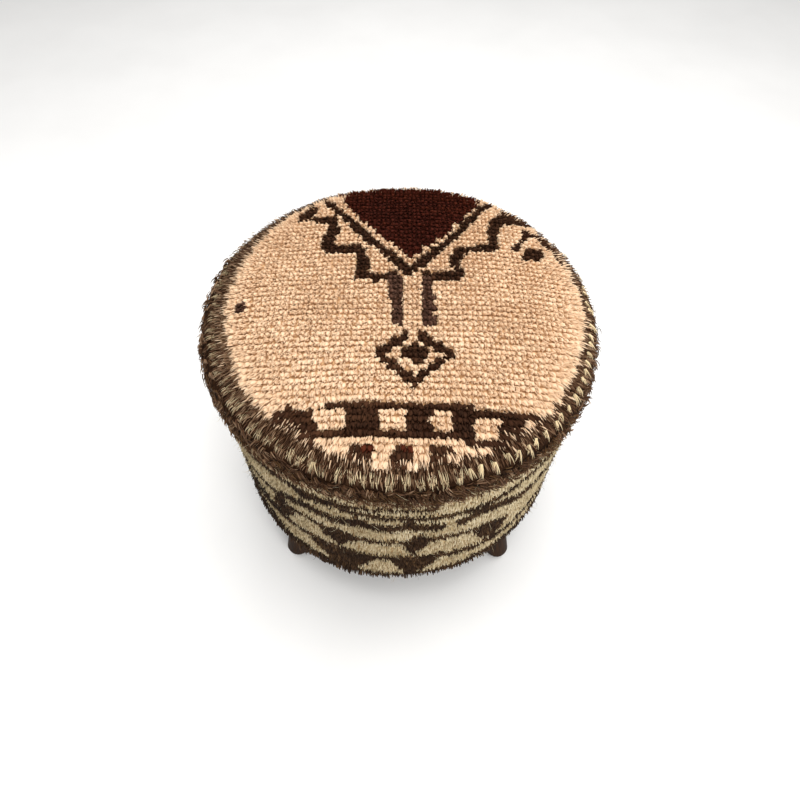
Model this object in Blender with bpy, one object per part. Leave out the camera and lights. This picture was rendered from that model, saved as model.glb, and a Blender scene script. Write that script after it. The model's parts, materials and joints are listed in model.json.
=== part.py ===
"""Low round pouf stool: a padded wooden drum covered in knotted carpet, on four screw-in splayed legs.

Units are metres and +Z is up. The floor is Z = 0, the middle of the drum is X = Y = 0, the front of the
pouf faces -Y and the seam that closes the side carpet is at the back, on +Y.
"""

import math

import bmesh
import bpy
from mathutils import Matrix, Vector

# Overall sizes
SEAT_DIAMETER = 0.400
RIM_HEIGHT = 0.322
HEM_HEIGHT = 0.088
CROWN = 0.028

# Carpet cover
CARPET = 0.011
EDGE_STRIP_WIDTH = 0.022
SIDE_DRAW_IN = 0.004
RIDGE_HEIGHT = 0.024
HEM_ROUND = 0.005
STITCH_YARN_RADIUS = 0.0018
BACK_SEAM_WIDTH = 0.0024

# Padding
SIDE_WADDING = 0.004
FOAM_EDGE = 0.016

# Wooden drum
WALL = 0.003
SEAT_BOARD = 0.015
BASE_BOARD = 0.018
BOARD_ABOVE_HEM = 0.004
POST_SIDE = 0.035
POST_INSET = 0.032
POST_COUNT = 4
DUST_COVER = 0.0012
DUST_COVER_INSET = 0.005

# Countersunk wood screws
SCREW_RADIUS = 0.002
SCREW_HEAD_RADIUS = 0.004
SCREW_HEAD_HEIGHT = 0.0027
SCREW_TIP = 0.004
POST_SCREW_BITE = 0.022
BLOCK_SCREW_BITE = 0.010
BLOCK_SCREW_OFFSET = 0.0115

# Legs and their fixings
LEG_COUNT = 4
LEG_SPLAY = math.radians(18)
LEG_TOP_RADIUS = 0.016
LEG_FOOT_RADIUS = 0.0145
LEG_FOOT_ROUND = 0.004
LEG_TOP_ROUND = 0.0015
BLOCK_RADIUS = 0.0175
BLOCK_DEPTH = 0.022
BLOCK_EDGE_CLEARANCE = 0.0008
WASHER_RADIUS = 0.0135
WASHER = 0.002
BOLT_RADIUS = 0.004
BOLT_IN_LEG = 0.030
BOLT_REACH = 0.015
INSERT_RADIUS = 0.006
INSERT_LENGTH = 0.016
GLIDE_RADIUS = 0.0125
GLIDE_RIM = 0.001
GLIDE_DOME_RADIUS = 0.024
GLIDE_FLAT_DEPTH = 0.0005
GLIDE_NAIL_RADIUS = 0.0012
GLIDE_NAIL_LENGTH = 0.014

# Clearance between pieces that touch, and how finely round pieces are faceted
GAP = 0.0003
DRUM_SIDES = 48
LEG_SIDES = 16
SCREW_SIDES = 8
YARN_SIDES = 6
FIELD_STEPS = 7
FIELD_UNDERSIDE_STEPS = 5
STRIP_STEPS = 5
STRIP_UNDERSIDE_STEPS = 3
SIDE_STEPS = 6
GLIDE_STEPS = 4
FOOT_ROUND_STEPS = 2
MERGE_DISTANCE = 1e-6
SHARP_ANGLE = math.radians(35)

# The crown is a flattened dome: flat in the middle, upright at the rim
CROWN_FLATNESS = 2.6
CROWN_SHOULDER = 0.55

# Half of the side's draw-in fades from the ridge to the hem, and half is deepest midway
WAIST_SHARE = 0.5

# Places worked out from the sizes above
RIM_RADIUS = SEAT_DIAMETER / 2
CARPET_INNER_RADIUS = RIM_RADIUS - CARPET
WADDING_RADIUS = CARPET_INNER_RADIUS - GAP
WALL_RADIUS = WADDING_RADIUS - SIDE_WADDING - GAP
BOARD_RADIUS = WALL_RADIUS - WALL - GAP
FIELD_RADIUS = RIM_RADIUS - EDGE_STRIP_WIDTH
LIP_TOP = HEM_HEIGHT + CARPET
BASE_UNDERSIDE = HEM_HEIGHT + BOARD_ABOVE_HEM
BASE_TOP = BASE_UNDERSIDE + BASE_BOARD
SEAT_TOP = RIM_HEIGHT - FOAM_EDGE
SEAT_UNDERSIDE = SEAT_TOP - SEAT_BOARD
SEAM_GROOVE = STITCH_YARN_RADIUS + math.sqrt(2) * (STITCH_YARN_RADIUS + GAP)
POST_CIRCLE = BOARD_RADIUS - POST_INSET
LEG_CIRCLE = (
    BOARD_RADIUS
    - BLOCK_EDGE_CLEARANCE
    - BLOCK_RADIUS / math.cos(LEG_SPLAY)
    - BOARD_ABOVE_HEM * math.tan(LEG_SPLAY)
)

# Places along a leg's axis, counted up from the underside of the base board
WASHER_TOP = -BLOCK_DEPTH - GAP
LEG_TOP = WASHER_TOP - WASHER - GAP
DOME_CENTRE = (GLIDE_DOME_RADIUS - GLIDE_FLAT_DEPTH - BASE_UNDERSIDE) / math.cos(LEG_SPLAY)
DOME_RIM = DOME_CENTRE - math.sqrt(GLIDE_DOME_RADIUS**2 - GLIDE_RADIUS**2)
GLIDE_TOP = DOME_RIM + GLIDE_RIM
LEG_FOOT = GLIDE_TOP + GAP


def clear_scene():
    """Removes every object of the file that the script runs in."""
    for obj in list(bpy.data.objects):
        bpy.data.objects.remove(obj, do_unlink=True)


def finish(name, colour, roughness, metallic=0.0):
    """A Principled material of one colour, given as linear red, green and blue."""
    material = bpy.data.materials.new(name)
    material.use_nodes = True
    shader = material.node_tree.nodes["Principled BSDF"]
    shader.inputs["Base Color"].default_value = (*colour, 1.0)
    shader.inputs["Roughness"].default_value = roughness
    shader.inputs["Metallic"].default_value = metallic
    material.diffuse_color = (*colour, 1.0)
    return material


def to_object(name, bm, material=None, parent=None):
    """Turns a bmesh into a named object, shaded smooth except along its sharp edges."""
    bmesh.ops.recalc_face_normals(bm, faces=bm.faces)
    mesh = bpy.data.meshes.new(name)
    bm.to_mesh(mesh)
    bm.free()
    mesh.shade_smooth()
    mesh.set_sharp_from_angle(angle=SHARP_ANGLE)
    if material:
        mesh.materials.append(material)
    obj = bpy.data.objects.new(name, mesh)
    obj.parent = parent
    bpy.context.collection.objects.link(obj)
    return obj


def turned(profile, sides, ring=False):
    """A bmesh turned about Z from a profile of (radius, height) points.

    A solid's profile starts and ends on the axis. A ring's profile is a closed loop clear of the axis.
    """
    bm = bmesh.new()
    points = [bm.verts.new((radius, 0.0, height)) for radius, height in profile]
    edges = [bm.edges.new(pair) for pair in zip(points, points[1:])]
    if ring:
        edges.append(bm.edges.new((points[-1], points[0])))
    bmesh.ops.spin(
        bm,
        geom=points + edges,
        axis=(0, 0, 1),
        cent=(0, 0, 0),
        angle=2 * math.pi,
        steps=sides,
        use_merge=True,
    )
    bmesh.ops.remove_doubles(bm, verts=bm.verts, dist=MERGE_DISTANCE)
    return bm


def box(size, centre):
    """A bmesh box of the given size about its centre."""
    bm = bmesh.new()
    bmesh.ops.create_cube(bm, size=1.0)
    bmesh.ops.scale(bm, vec=size, verts=bm.verts)
    bmesh.ops.translate(bm, vec=centre, verts=bm.verts)
    return bm


def gather(pieces):
    """One bmesh that holds several separate ones, each moved by its matrix."""
    whole = bmesh.new()
    for piece, matrix in pieces:
        piece.transform(matrix)
        mesh = bpy.data.meshes.new("piece")
        piece.to_mesh(mesh)
        piece.free()
        whole.from_mesh(mesh)
        bpy.data.meshes.remove(mesh)
    return whole


def cut(target, name, pieces):
    """Cuts the given pieces out of an object, and keeps the cutter as a hidden guide."""
    cutter = to_object(name, gather(pieces))
    cutter.hide_render = True
    cutter.display_type = "WIRE"
    modifier = target.modifiers.new(name, "BOOLEAN")
    modifier.operation = "DIFFERENCE"
    modifier.solver = "EXACT"
    modifier.object = cutter


def around(count, first=0.0):
    """Evenly spaced angles about Z."""
    return [first + 2 * math.pi * index / count for index in range(count)]


def polar(radius, angle, height):
    """The point at an angle about Z."""
    return Vector((radius * math.cos(angle), radius * math.sin(angle), height))


def crown_height(radius, rim_radius, crown):
    """Height of the crowned top above the rim."""
    share = min(radius / rim_radius, 1.0)
    return crown * (1.0 - share**CROWN_FLATNESS) ** CROWN_SHOULDER


def crown_curve(inner, outer, steps, rim_radius, crown):
    """Points along the crown from an inner to an outer radius, closer together towards the rim."""
    points = []
    for step in range(steps + 1):
        radius = inner + (outer - inner) * math.sin(math.pi / 2 * step / steps)
        points.append((radius, RIM_HEIGHT + crown_height(radius, rim_radius, crown)))
    return points


def field_underside():
    """The underside of the round carpet on top, from the middle out."""
    return crown_curve(0.0, FIELD_RADIUS, FIELD_UNDERSIDE_STEPS, CARPET_INNER_RADIUS, CROWN - CARPET)


def strip_underside():
    """The inner face of the edge strip, from the seat down to the rim seam."""
    inner = FIELD_RADIUS + GAP
    outer = CARPET_INNER_RADIUS
    points = crown_curve(inner, outer, STRIP_UNDERSIDE_STEPS, outer, CROWN - CARPET)
    return points[:-1] + [(outer, RIM_HEIGHT + GAP / 2)]


def seat_carpet(material):
    """The round carpet on top, crowned over the foam."""
    top = crown_curve(0.0, FIELD_RADIUS, FIELD_STEPS, RIM_RADIUS, CROWN)
    return to_object("seat_carpet", turned(top + field_underside()[::-1], DRUM_SIDES), material)


def edge_strip(material):
    """The narrow dark carpet strip that rolls over the edge of the seat down to the rim seam."""
    crest = crown_curve(FIELD_RADIUS + GAP, RIM_RADIUS, STRIP_STEPS, RIM_RADIUS, CROWN)
    outside = [point for point in crest if point[1] > RIM_HEIGHT + SEAM_GROOVE]
    outside += [(RIM_RADIUS, RIM_HEIGHT + SEAM_GROOVE), (RIM_RADIUS - SEAM_GROOVE, RIM_HEIGHT + GAP / 2)]
    profile = outside + strip_underside()[::-1]
    return to_object("edge_strip", turned(profile, DRUM_SIDES, ring=True), material)


def side_carpet(material):
    """The carpet band round the drum: a fuller ridge under the rim, drawn-in sides and a rolled hem."""
    waist_top = RIM_HEIGHT - RIDGE_HEIGHT
    waist_bottom = HEM_HEIGHT + HEM_ROUND
    outside = [
        (RIM_RADIUS - SEAM_GROOVE, RIM_HEIGHT - GAP / 2),
        (RIM_RADIUS, RIM_HEIGHT - SEAM_GROOVE),
        (RIM_RADIUS, RIM_HEIGHT - RIDGE_HEIGHT / 2),
    ]
    for step in range(SIDE_STEPS + 1):
        share = step / SIDE_STEPS
        height = waist_top + (waist_bottom - waist_top) * share
        under_ridge = (1 - WAIST_SHARE) * math.cos(math.pi / 2 * share)
        waist = WAIST_SHARE * math.sin(math.pi * share) ** 2
        outside.append((RIM_RADIUS - SIDE_DRAW_IN * (under_ridge + waist), height))
    outside.append((RIM_RADIUS - HEM_ROUND, HEM_HEIGHT))
    lip = [
        (BOARD_RADIUS + GAP, HEM_HEIGHT),
        (BOARD_RADIUS + GAP, LIP_TOP),
        (CARPET_INNER_RADIUS, LIP_TOP),
        (CARPET_INNER_RADIUS, RIM_HEIGHT - GAP / 2),
    ]
    band = to_object("side_carpet", turned(outside + lip, DRUM_SIDES, ring=True), material)
    depth = RIM_RADIUS - BOARD_RADIUS + CARPET
    slot = box((BACK_SEAM_WIDTH, depth, RIM_HEIGHT), (0, RIM_RADIUS, RIM_HEIGHT / 2 + CARPET / 2))
    cut(band, "back_seam_slot", [(slot, Matrix.Identity(4))])
    return band


def rim_stitching(material):
    """The ring of overcast yarn that joins the edge strip to the side carpet, sunk in the rim seam."""
    loop = []
    for angle in around(YARN_SIDES, math.pi / 2):
        radius = RIM_RADIUS - STITCH_YARN_RADIUS + STITCH_YARN_RADIUS * math.cos(angle)
        loop.append((radius, RIM_HEIGHT + STITCH_YARN_RADIUS * math.sin(angle)))
    return to_object("rim_stitching", turned(loop[::-1], DRUM_SIDES, ring=True), material)


def back_seam_stitching(material):
    """The line of stitching that closes the two ends of the side carpet at the back."""
    width = BACK_SEAM_WIDTH - 2 * GAP
    depth = CARPET - SIDE_DRAW_IN - 2 * GAP
    height = RIM_HEIGHT - LIP_TOP - SEAM_GROOVE - 2 * GAP
    centre = (0, CARPET_INNER_RADIUS + GAP + depth / 2, LIP_TOP + GAP + height / 2)
    return to_object("back_seam_stitching", box((width, depth, height), centre), material)


def seat_foam(material):
    """The crowned foam pad between the seat board and the carpet."""
    radius = CARPET_INNER_RADIUS - GAP
    shrink = radius / CARPET_INNER_RADIUS
    top = [(point[0] * shrink, point[1] - GAP) for point in field_underside() + strip_underside()]
    profile = top + [(radius, SEAT_TOP + GAP), (0.0, SEAT_TOP + GAP)]
    return to_object("seat_foam", turned(profile, DRUM_SIDES), material)


def hoop(name, outer, thickness, material):
    """A plain wrap round the drum, from the carpet's lip up to the top of the seat board."""
    inner = outer - thickness
    low = LIP_TOP + GAP
    profile = [(outer, SEAT_TOP), (outer, low), (inner, low), (inner, SEAT_TOP)]
    return to_object(name, turned(profile, DRUM_SIDES, ring=True), material)


def disc(name, radius, low, high, material):
    """A flat round board or cloth."""
    profile = [(0.0, high), (radius, high), (radius, low), (0.0, low)]
    return to_object(name, turned(profile, DRUM_SIDES), material)


def screw_profile(length, spare=0.0, head_room=0.0):
    """Profile of a countersunk screw that points down from its head at Z = 0, grown by spare for a hole."""
    head = SCREW_HEAD_RADIUS + spare
    shank = SCREW_RADIUS + spare
    profile = [(0.0, head_room), (head, head_room)]
    if head_room:
        profile.append((head, 0.0))
    profile += [
        (shank, -SCREW_HEAD_HEIGHT),
        (shank, -(length - SCREW_TIP)),
        (0.0, -length - spare),
    ]
    return profile


def screw(name, length, matrix, material):
    """A countersunk wood screw with its head at the matrix's origin, pointing down its Z axis."""
    obj = to_object(name, turned(screw_profile(length), SCREW_SIDES), material)
    obj.matrix_world = matrix
    return obj


def screw_hole(length, matrix):
    """The hole that a screw of this length needs, with room above its head."""
    return turned(screw_profile(length, spare=GAP, head_room=SCREW_HEAD_HEIGHT), SCREW_SIDES), matrix


def seat_screw_places():
    """Where the screws go down through the seat board into the posts, heads just under its top face."""
    return [Matrix.Translation(polar(POST_CIRCLE, a, SEAT_TOP - GAP)) for a in around(POST_COUNT)]


def base_screw_places():
    """Where the screws go up through the base board into the posts, heads just inside its underside."""
    flip = Matrix.Rotation(math.pi, 4, "X")
    height = BASE_UNDERSIDE + GAP
    return [Matrix.Translation(polar(POST_CIRCLE, a, height)) @ flip for a in around(POST_COUNT)]


def block_screw_places():
    """Where the screws go down through the base board into the leg blocks, two beside each leg's axis."""
    places = []
    for angle in leg_angles():
        along = Vector((-math.sin(angle), math.cos(angle), 0.0))
        for side in (-1, 1):
            point = polar(LEG_CIRCLE, angle, BASE_TOP - GAP) + side * BLOCK_SCREW_OFFSET * along
            places.append(Matrix.Translation(point))
    return places


def leg_angles():
    """Directions of the legs, half way between the posts."""
    return around(LEG_COUNT, math.pi / LEG_COUNT)


def drum_frame(wood, steel):
    """Seat board, base board, the posts between them and the screws that hold them together."""
    seat_length = SEAT_BOARD + POST_SCREW_BITE
    base_length = BASE_BOARD + POST_SCREW_BITE
    block_length = BASE_BOARD + BLOCK_SCREW_BITE
    seat_places = seat_screw_places()
    base_places = base_screw_places()
    block_places = block_screw_places()

    seat = disc("seat_board", BOARD_RADIUS, SEAT_UNDERSIDE, SEAT_TOP, wood)
    cut(seat, "seat_board_holes", [screw_hole(seat_length, place) for place in seat_places])
    base = disc("base_board", BOARD_RADIUS, BASE_UNDERSIDE, BASE_TOP, wood)
    holes = [screw_hole(base_length, place) for place in base_places]
    holes += [screw_hole(block_length, place) for place in block_places]
    cut(base, "base_board_holes", holes)

    post_low = BASE_TOP + GAP
    post_high = SEAT_UNDERSIDE - GAP
    for index, angle in enumerate(around(POST_COUNT)):
        number = index + 1
        post = to_object(
            f"frame_post_{number}",
            box((POST_SIDE, POST_SIDE, post_high - post_low), (0, 0, (post_low + post_high) / 2)),
            wood,
        )
        place = Matrix.Translation(polar(POST_CIRCLE, angle, 0))
        post.matrix_world = place @ Matrix.Rotation(angle, 4, "Z")
        bores = [screw_hole(seat_length, seat_places[index]), screw_hole(base_length, base_places[index])]
        cut(post, f"frame_post_bores_{number}", bores)
        screw(f"seat_screw_{number}", seat_length, seat_places[index], steel)
        screw(f"base_screw_{number}", base_length, base_places[index], steel)
    for number, block_place in enumerate(block_places, start=1):
        screw(f"block_screw_{number}", block_length, block_place, steel)


def dust_cover(material):
    """The thin cloth under the base board, cut out round the leg blocks."""
    high = BASE_UNDERSIDE - GAP
    cover = disc("dust_cover", BOARD_RADIUS - DUST_COVER_INSET, high - DUST_COVER, high, material)
    hole_radius = BLOCK_RADIUS + 2 * GAP
    hole_profile = [
        (0.0, BLOCK_DEPTH),
        (hole_radius, BLOCK_DEPTH),
        (hole_radius, -BLOCK_DEPTH),
        (0.0, -BLOCK_DEPTH),
    ]
    holes = [(turned(hole_profile, LEG_SIDES), leg_matrix(angle)) for angle in leg_angles()]
    cut(cover, "dust_cover_holes", holes)
    return cover


def leg_matrix(angle):
    """Frame of a leg: origin under the base board, Z up along the leg's axis, X away from the middle."""
    place = Matrix.Translation(polar(LEG_CIRCLE, angle, BASE_UNDERSIDE))
    turn = Matrix.Rotation(angle, 4, "Z")
    tilt = Matrix.Rotation(-LEG_SPLAY, 4, "Y")
    return place @ turn @ tilt


def slice_off(bm, matrix, height, above):
    """Cuts a leg piece level at a height over the floor, takes away one side of the cut, and closes it."""
    point = matrix.inverted() @ Vector((*matrix.translation.xy, height))
    normal = matrix.inverted().to_3x3() @ Vector((0, 0, 1 if above else -1))
    geometry = bm.verts[:] + bm.edges[:] + bm.faces[:]
    bmesh.ops.bisect_plane(
        bm, geom=geometry, dist=MERGE_DISTANCE, plane_co=point, plane_no=normal, clear_outer=True
    )
    rim = [edge for edge in bm.edges if edge.is_boundary]
    bmesh.ops.edgeloop_fill(bm, edges=rim)
    return bm


def leg_block(name, axis, matrix, screw_places, material):
    """The wedge under the base board that gives a leg its splay, bored for the insert and two screws."""
    bore = INSERT_RADIUS + GAP
    bore_end = -BLOCK_DEPTH + INSERT_LENGTH + GAP
    above = BLOCK_RADIUS * math.tan(LEG_SPLAY) + BLOCK_DEPTH
    profile = [
        (0.0, above),
        (BLOCK_RADIUS, above),
        (BLOCK_RADIUS, -BLOCK_DEPTH),
        (bore, -BLOCK_DEPTH),
        (bore, bore_end),
        (0.0, bore_end),
    ]
    wedge = slice_off(turned(profile, LEG_SIDES), matrix, BASE_UNDERSIDE - GAP, above=True)
    block = to_object(name, wedge, material, axis)
    length = BASE_BOARD + BLOCK_SCREW_BITE
    cut(block, f"{name}_bores", [screw_hole(length, place) for place in screw_places])


def thread_insert(name, axis, material):
    """The brass insert in the block that the leg's bolt screws into."""
    low = -BLOCK_DEPTH
    high = low + INSERT_LENGTH
    bore = BOLT_RADIUS + GAP
    profile = [(INSERT_RADIUS, high), (INSERT_RADIUS, low), (bore, low), (bore, high)]
    to_object(name, turned(profile, LEG_SIDES, ring=True), material, axis)


def leg_washer(name, axis, material):
    """The fibre washer between the block and the top of the leg."""
    low = WASHER_TOP - WASHER
    bore = BOLT_RADIUS + GAP
    profile = [(WASHER_RADIUS, WASHER_TOP), (WASHER_RADIUS, low), (bore, low), (bore, WASHER_TOP)]
    to_object(name, turned(profile, LEG_SIDES, ring=True), material, axis)


def hanger_bolt(name, axis, material):
    """The bolt fixed in the top of the leg, whose upper end screws into the insert."""
    low = LEG_TOP - BOLT_IN_LEG
    high = LEG_TOP + BOLT_REACH
    profile = [(0.0, high), (BOLT_RADIUS, high), (BOLT_RADIUS, low), (0.0, low)]
    to_object(name, turned(profile, LEG_SIDES), material, axis)


def leg(name, axis, material):
    """A turned, slightly tapered leg, bored at the top for its bolt and at the foot for the glide's nail."""
    bolt_bore = BOLT_RADIUS + GAP
    bolt_bore_end = LEG_TOP - BOLT_IN_LEG - GAP
    nail_bore = GLIDE_NAIL_RADIUS + GAP
    nail_bore_end = GLIDE_TOP + GLIDE_NAIL_LENGTH + GAP
    profile = [
        (0.0, bolt_bore_end),
        (bolt_bore, bolt_bore_end),
        (bolt_bore, LEG_TOP),
        (LEG_TOP_RADIUS - LEG_TOP_ROUND, LEG_TOP),
        (LEG_TOP_RADIUS, LEG_TOP - LEG_TOP_ROUND),
    ]
    for step in range(FOOT_ROUND_STEPS + 1):
        turn = math.pi / 2 * step / FOOT_ROUND_STEPS
        radius = LEG_FOOT_RADIUS - LEG_FOOT_ROUND * (1 - math.cos(turn))
        profile.append((radius, LEG_FOOT + LEG_FOOT_ROUND * (1 - math.sin(turn))))
    profile += [(nail_bore, LEG_FOOT), (nail_bore, nail_bore_end), (0.0, nail_bore_end)]
    to_object(name, turned(profile, LEG_SIDES), material, axis)


def foot_glide(name, axis, matrix, material):
    """The domed nail-on glide under a leg, worn flat where it stands on the floor."""
    nail_end = GLIDE_TOP + GLIDE_NAIL_LENGTH
    profile = [
        (0.0, nail_end),
        (GLIDE_NAIL_RADIUS, nail_end),
        (GLIDE_NAIL_RADIUS, GLIDE_TOP),
        (GLIDE_RADIUS, GLIDE_TOP),
    ]
    widest = math.asin(GLIDE_RADIUS / GLIDE_DOME_RADIUS)
    for step in range(GLIDE_STEPS):
        turn = widest * (1 - step / GLIDE_STEPS)
        radius = GLIDE_DOME_RADIUS * math.sin(turn)
        profile.append((radius, DOME_CENTRE - GLIDE_DOME_RADIUS * math.cos(turn)))
    profile.append((0.0, DOME_CENTRE - GLIDE_DOME_RADIUS))
    glide = slice_off(turned(profile, LEG_SIDES), matrix, 0.0, above=False)
    to_object(name, glide, material, axis)


def legs(wood, steel, brass, fibre, nylon):
    """Four splayed legs, each with its block, insert, washer, bolt and glide on one axis."""
    screw_places = block_screw_places()
    for index, angle in enumerate(leg_angles()):
        number = index + 1
        matrix = leg_matrix(angle)
        axis = bpy.data.objects.new(f"leg_axis_{number}", None)
        axis.matrix_world = matrix
        bpy.context.collection.objects.link(axis)
        leg_block(f"leg_block_{number}", axis, matrix, screw_places[2 * index : 2 * index + 2], wood)
        thread_insert(f"thread_insert_{number}", axis, brass)
        leg_washer(f"leg_washer_{number}", axis, fibre)
        hanger_bolt(f"hanger_bolt_{number}", axis, steel)
        leg(f"leg_{number}", axis, wood)
        foot_glide(f"foot_glide_{number}", axis, matrix, nylon)


def main():
    """Builds the pouf from the cover inwards and down to the legs."""
    clear_scene()
    cream_wool = finish("cream_wool_pile", (0.75, 0.49, 0.29), 0.95)
    brown_wool = finish("brown_wool_pile", (0.060, 0.028, 0.016), 0.95)
    grey_wool = finish("weathered_wool_pile", (0.36, 0.29, 0.19), 0.95)
    cotton = finish("cream_cotton_yarn", (0.60, 0.48, 0.31), 0.90)
    foam = finish("seat_foam", (0.78, 0.70, 0.48), 0.95)
    felt = finish("grey_felt", (0.22, 0.21, 0.20), 0.95)
    plywood = finish("poplar_plywood", (0.58, 0.40, 0.22), 0.70)
    hardboard = finish("hardboard", (0.20, 0.11, 0.05), 0.75)
    black_cloth = finish("black_dust_cloth", (0.015, 0.015, 0.016), 0.95)
    stained_wood = finish("dark_stained_beech", (0.026, 0.012, 0.005), 0.40)
    steel = finish("zinc_plated_steel", (0.55, 0.55, 0.56), 0.35, 1.0)
    brass = finish("brass", (0.70, 0.50, 0.20), 0.35, 1.0)
    fibre = finish("red_fibre", (0.25, 0.05, 0.03), 0.80)
    nylon = finish("brown_nylon", (0.05, 0.03, 0.02), 0.50)

    seat_carpet(cream_wool)
    edge_strip(brown_wool)
    side_carpet(grey_wool)
    rim_stitching(cotton)
    back_seam_stitching(cotton)
    seat_foam(foam)
    hoop("side_wadding", WADDING_RADIUS, SIDE_WADDING, felt)
    hoop("drum_wall", WALL_RADIUS, WALL, hardboard)
    drum_frame(plywood, steel)
    dust_cover(black_cloth)
    legs(stained_wood, steel, brass, fibre, nylon)


main()
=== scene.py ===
"""Looks of the carpet pouf: knotted wool pile, an overcast rim, stained legs and what the drum holds.

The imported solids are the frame, and every piece here takes its place from them. Lengths are in metres,
and motifs are drawn in millimetres. The middle of the drum is X = Y = 0, the floor is Z = 0 and the
front faces -Y.
"""

from __future__ import annotations

import json
import logging
import math
import random
from dataclasses import dataclass, field
from enum import Enum
from functools import partial
from typing import Any, Callable, ClassVar, Sequence

import bmesh
import bpy
from mathutils import Matrix, Vector, noise
from mathutils.bvhtree import BVHTree

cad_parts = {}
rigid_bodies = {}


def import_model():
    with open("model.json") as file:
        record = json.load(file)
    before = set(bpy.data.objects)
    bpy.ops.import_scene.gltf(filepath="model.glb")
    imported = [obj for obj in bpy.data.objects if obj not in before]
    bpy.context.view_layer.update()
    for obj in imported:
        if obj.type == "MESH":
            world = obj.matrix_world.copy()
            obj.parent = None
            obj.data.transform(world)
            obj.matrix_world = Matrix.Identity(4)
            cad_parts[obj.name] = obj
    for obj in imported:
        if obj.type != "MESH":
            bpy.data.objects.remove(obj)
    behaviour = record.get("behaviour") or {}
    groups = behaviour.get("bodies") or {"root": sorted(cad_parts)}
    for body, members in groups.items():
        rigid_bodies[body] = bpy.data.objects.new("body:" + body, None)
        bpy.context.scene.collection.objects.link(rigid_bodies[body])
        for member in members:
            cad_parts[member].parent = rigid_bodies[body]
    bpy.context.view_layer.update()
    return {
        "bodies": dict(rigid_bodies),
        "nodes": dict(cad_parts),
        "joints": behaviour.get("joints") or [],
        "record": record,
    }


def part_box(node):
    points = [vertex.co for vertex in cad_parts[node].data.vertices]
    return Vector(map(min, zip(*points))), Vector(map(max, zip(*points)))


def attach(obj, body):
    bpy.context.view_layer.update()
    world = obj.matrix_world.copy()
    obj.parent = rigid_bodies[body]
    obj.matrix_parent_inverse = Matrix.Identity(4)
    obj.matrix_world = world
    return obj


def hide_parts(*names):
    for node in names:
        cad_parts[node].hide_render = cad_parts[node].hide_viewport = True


LOG = logging.getLogger("carpet_pouf")

MM = 0.001
FULL_TURN = 2 * math.pi
BAKE_MAP = "OFBake"
GRAIN = "grain"
YARN = "yarn"
SHARP_ANGLE = math.radians(40)
WELD = 1e-6
UP = Vector((0.0, 0.0, 1.0))
FRONT = Vector((0.0, -1.0, 0.0))

Tree = bpy.types.NodeTree
Node = bpy.types.Node
Socket = bpy.types.NodeSocket
Profile = Sequence[tuple[float, float]]
Place = tuple[Vector, Vector]
Stops = Sequence[tuple[float, str]]
Inputs = dict[str | int, Any]


def linear(hex_code: str) -> tuple[float, float, float, float]:
    """Turns an sRGB hex colour into linear values.

    Args:
        hex_code: Colour such as "#e6bd97".

    Returns:
        Red, green, blue and alpha, ready for a node's colour socket.
    """
    channels = []
    for start in (1, 3, 5):
        value = int(hex_code[start : start + 2], 16) / 255
        channels.append(value / 12.92 if value <= 0.04045 else ((value + 0.055) / 1.055) ** 2.4)
    return channels[0], channels[1], channels[2], 1.0


def clamp(value: float, low: float = 0.0, high: float = 1.0) -> float:
    """Keeps a value between two limits."""
    return max(low, min(high, value))


def ease(low: float, high: float, value: float) -> float:
    """Rises smoothly from 0 at low to 1 at high."""
    share = clamp((value - low) / (high - low))
    return share * share * (3 - 2 * share)


def polar(radius: float, angle: float, height: float) -> Vector:
    """The point at an angle about Z, counted from +X."""
    return Vector((radius * math.cos(angle), radius * math.sin(angle), height))


@dataclass(frozen=True)
class Wave:
    """Smooth unevenness, from about -height to height, in lumps of about a size."""

    height: float
    size: float
    seed: float

    def at(self, place: Vector) -> float:
        """Its value at a place."""
        shift = Vector((self.seed, 2.7 * self.seed, -1.3 * self.seed))
        return self.height * noise.noise(place / self.size + shift)


def plug(tree: Tree, node: Node, inputs: Inputs) -> None:
    """Fills or links a node's inputs.

    Args:
        tree: The node's tree.
        node: The node.
        inputs: Values, output sockets, or nodes that give their first output, by the input's name or number.
    """
    for key, value in inputs.items():
        if isinstance(value, Node):
            value = value.outputs[0]
        if isinstance(value, Socket):
            tree.links.new(value, node.inputs[key])
        else:
            node.inputs[key].default_value = value


def add_node(tree: Tree, kind: str, inputs: Inputs | None = None, **settings: Any) -> Node:
    """Adds a node, sets its properties, and fills or links its inputs.

    Args:
        tree: Shader or geometry node tree.
        kind: Blender's name for the node type.
        inputs: What goes into the node, as plug takes it.
        **settings: Properties of the node itself.

    Returns:
        The new node.
    """
    node = tree.nodes.new(kind)
    for name, value in settings.items():
        setattr(node, name, value)
    plug(tree, node, inputs or {})
    return node


def set_ramp(node: Node, stops: Stops) -> None:
    """Gives a colour ramp its stops.

    Args:
        node: The colour ramp node.
        stops: Position and hex colour of each stop, in order.
    """
    elements = node.color_ramp.elements
    while len(elements) < len(stops):
        elements.new(1.0)
    for element, (position, hex_code) in zip(elements, stops):
        element.position = position
        element.color = linear(hex_code)


# Finishes


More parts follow.
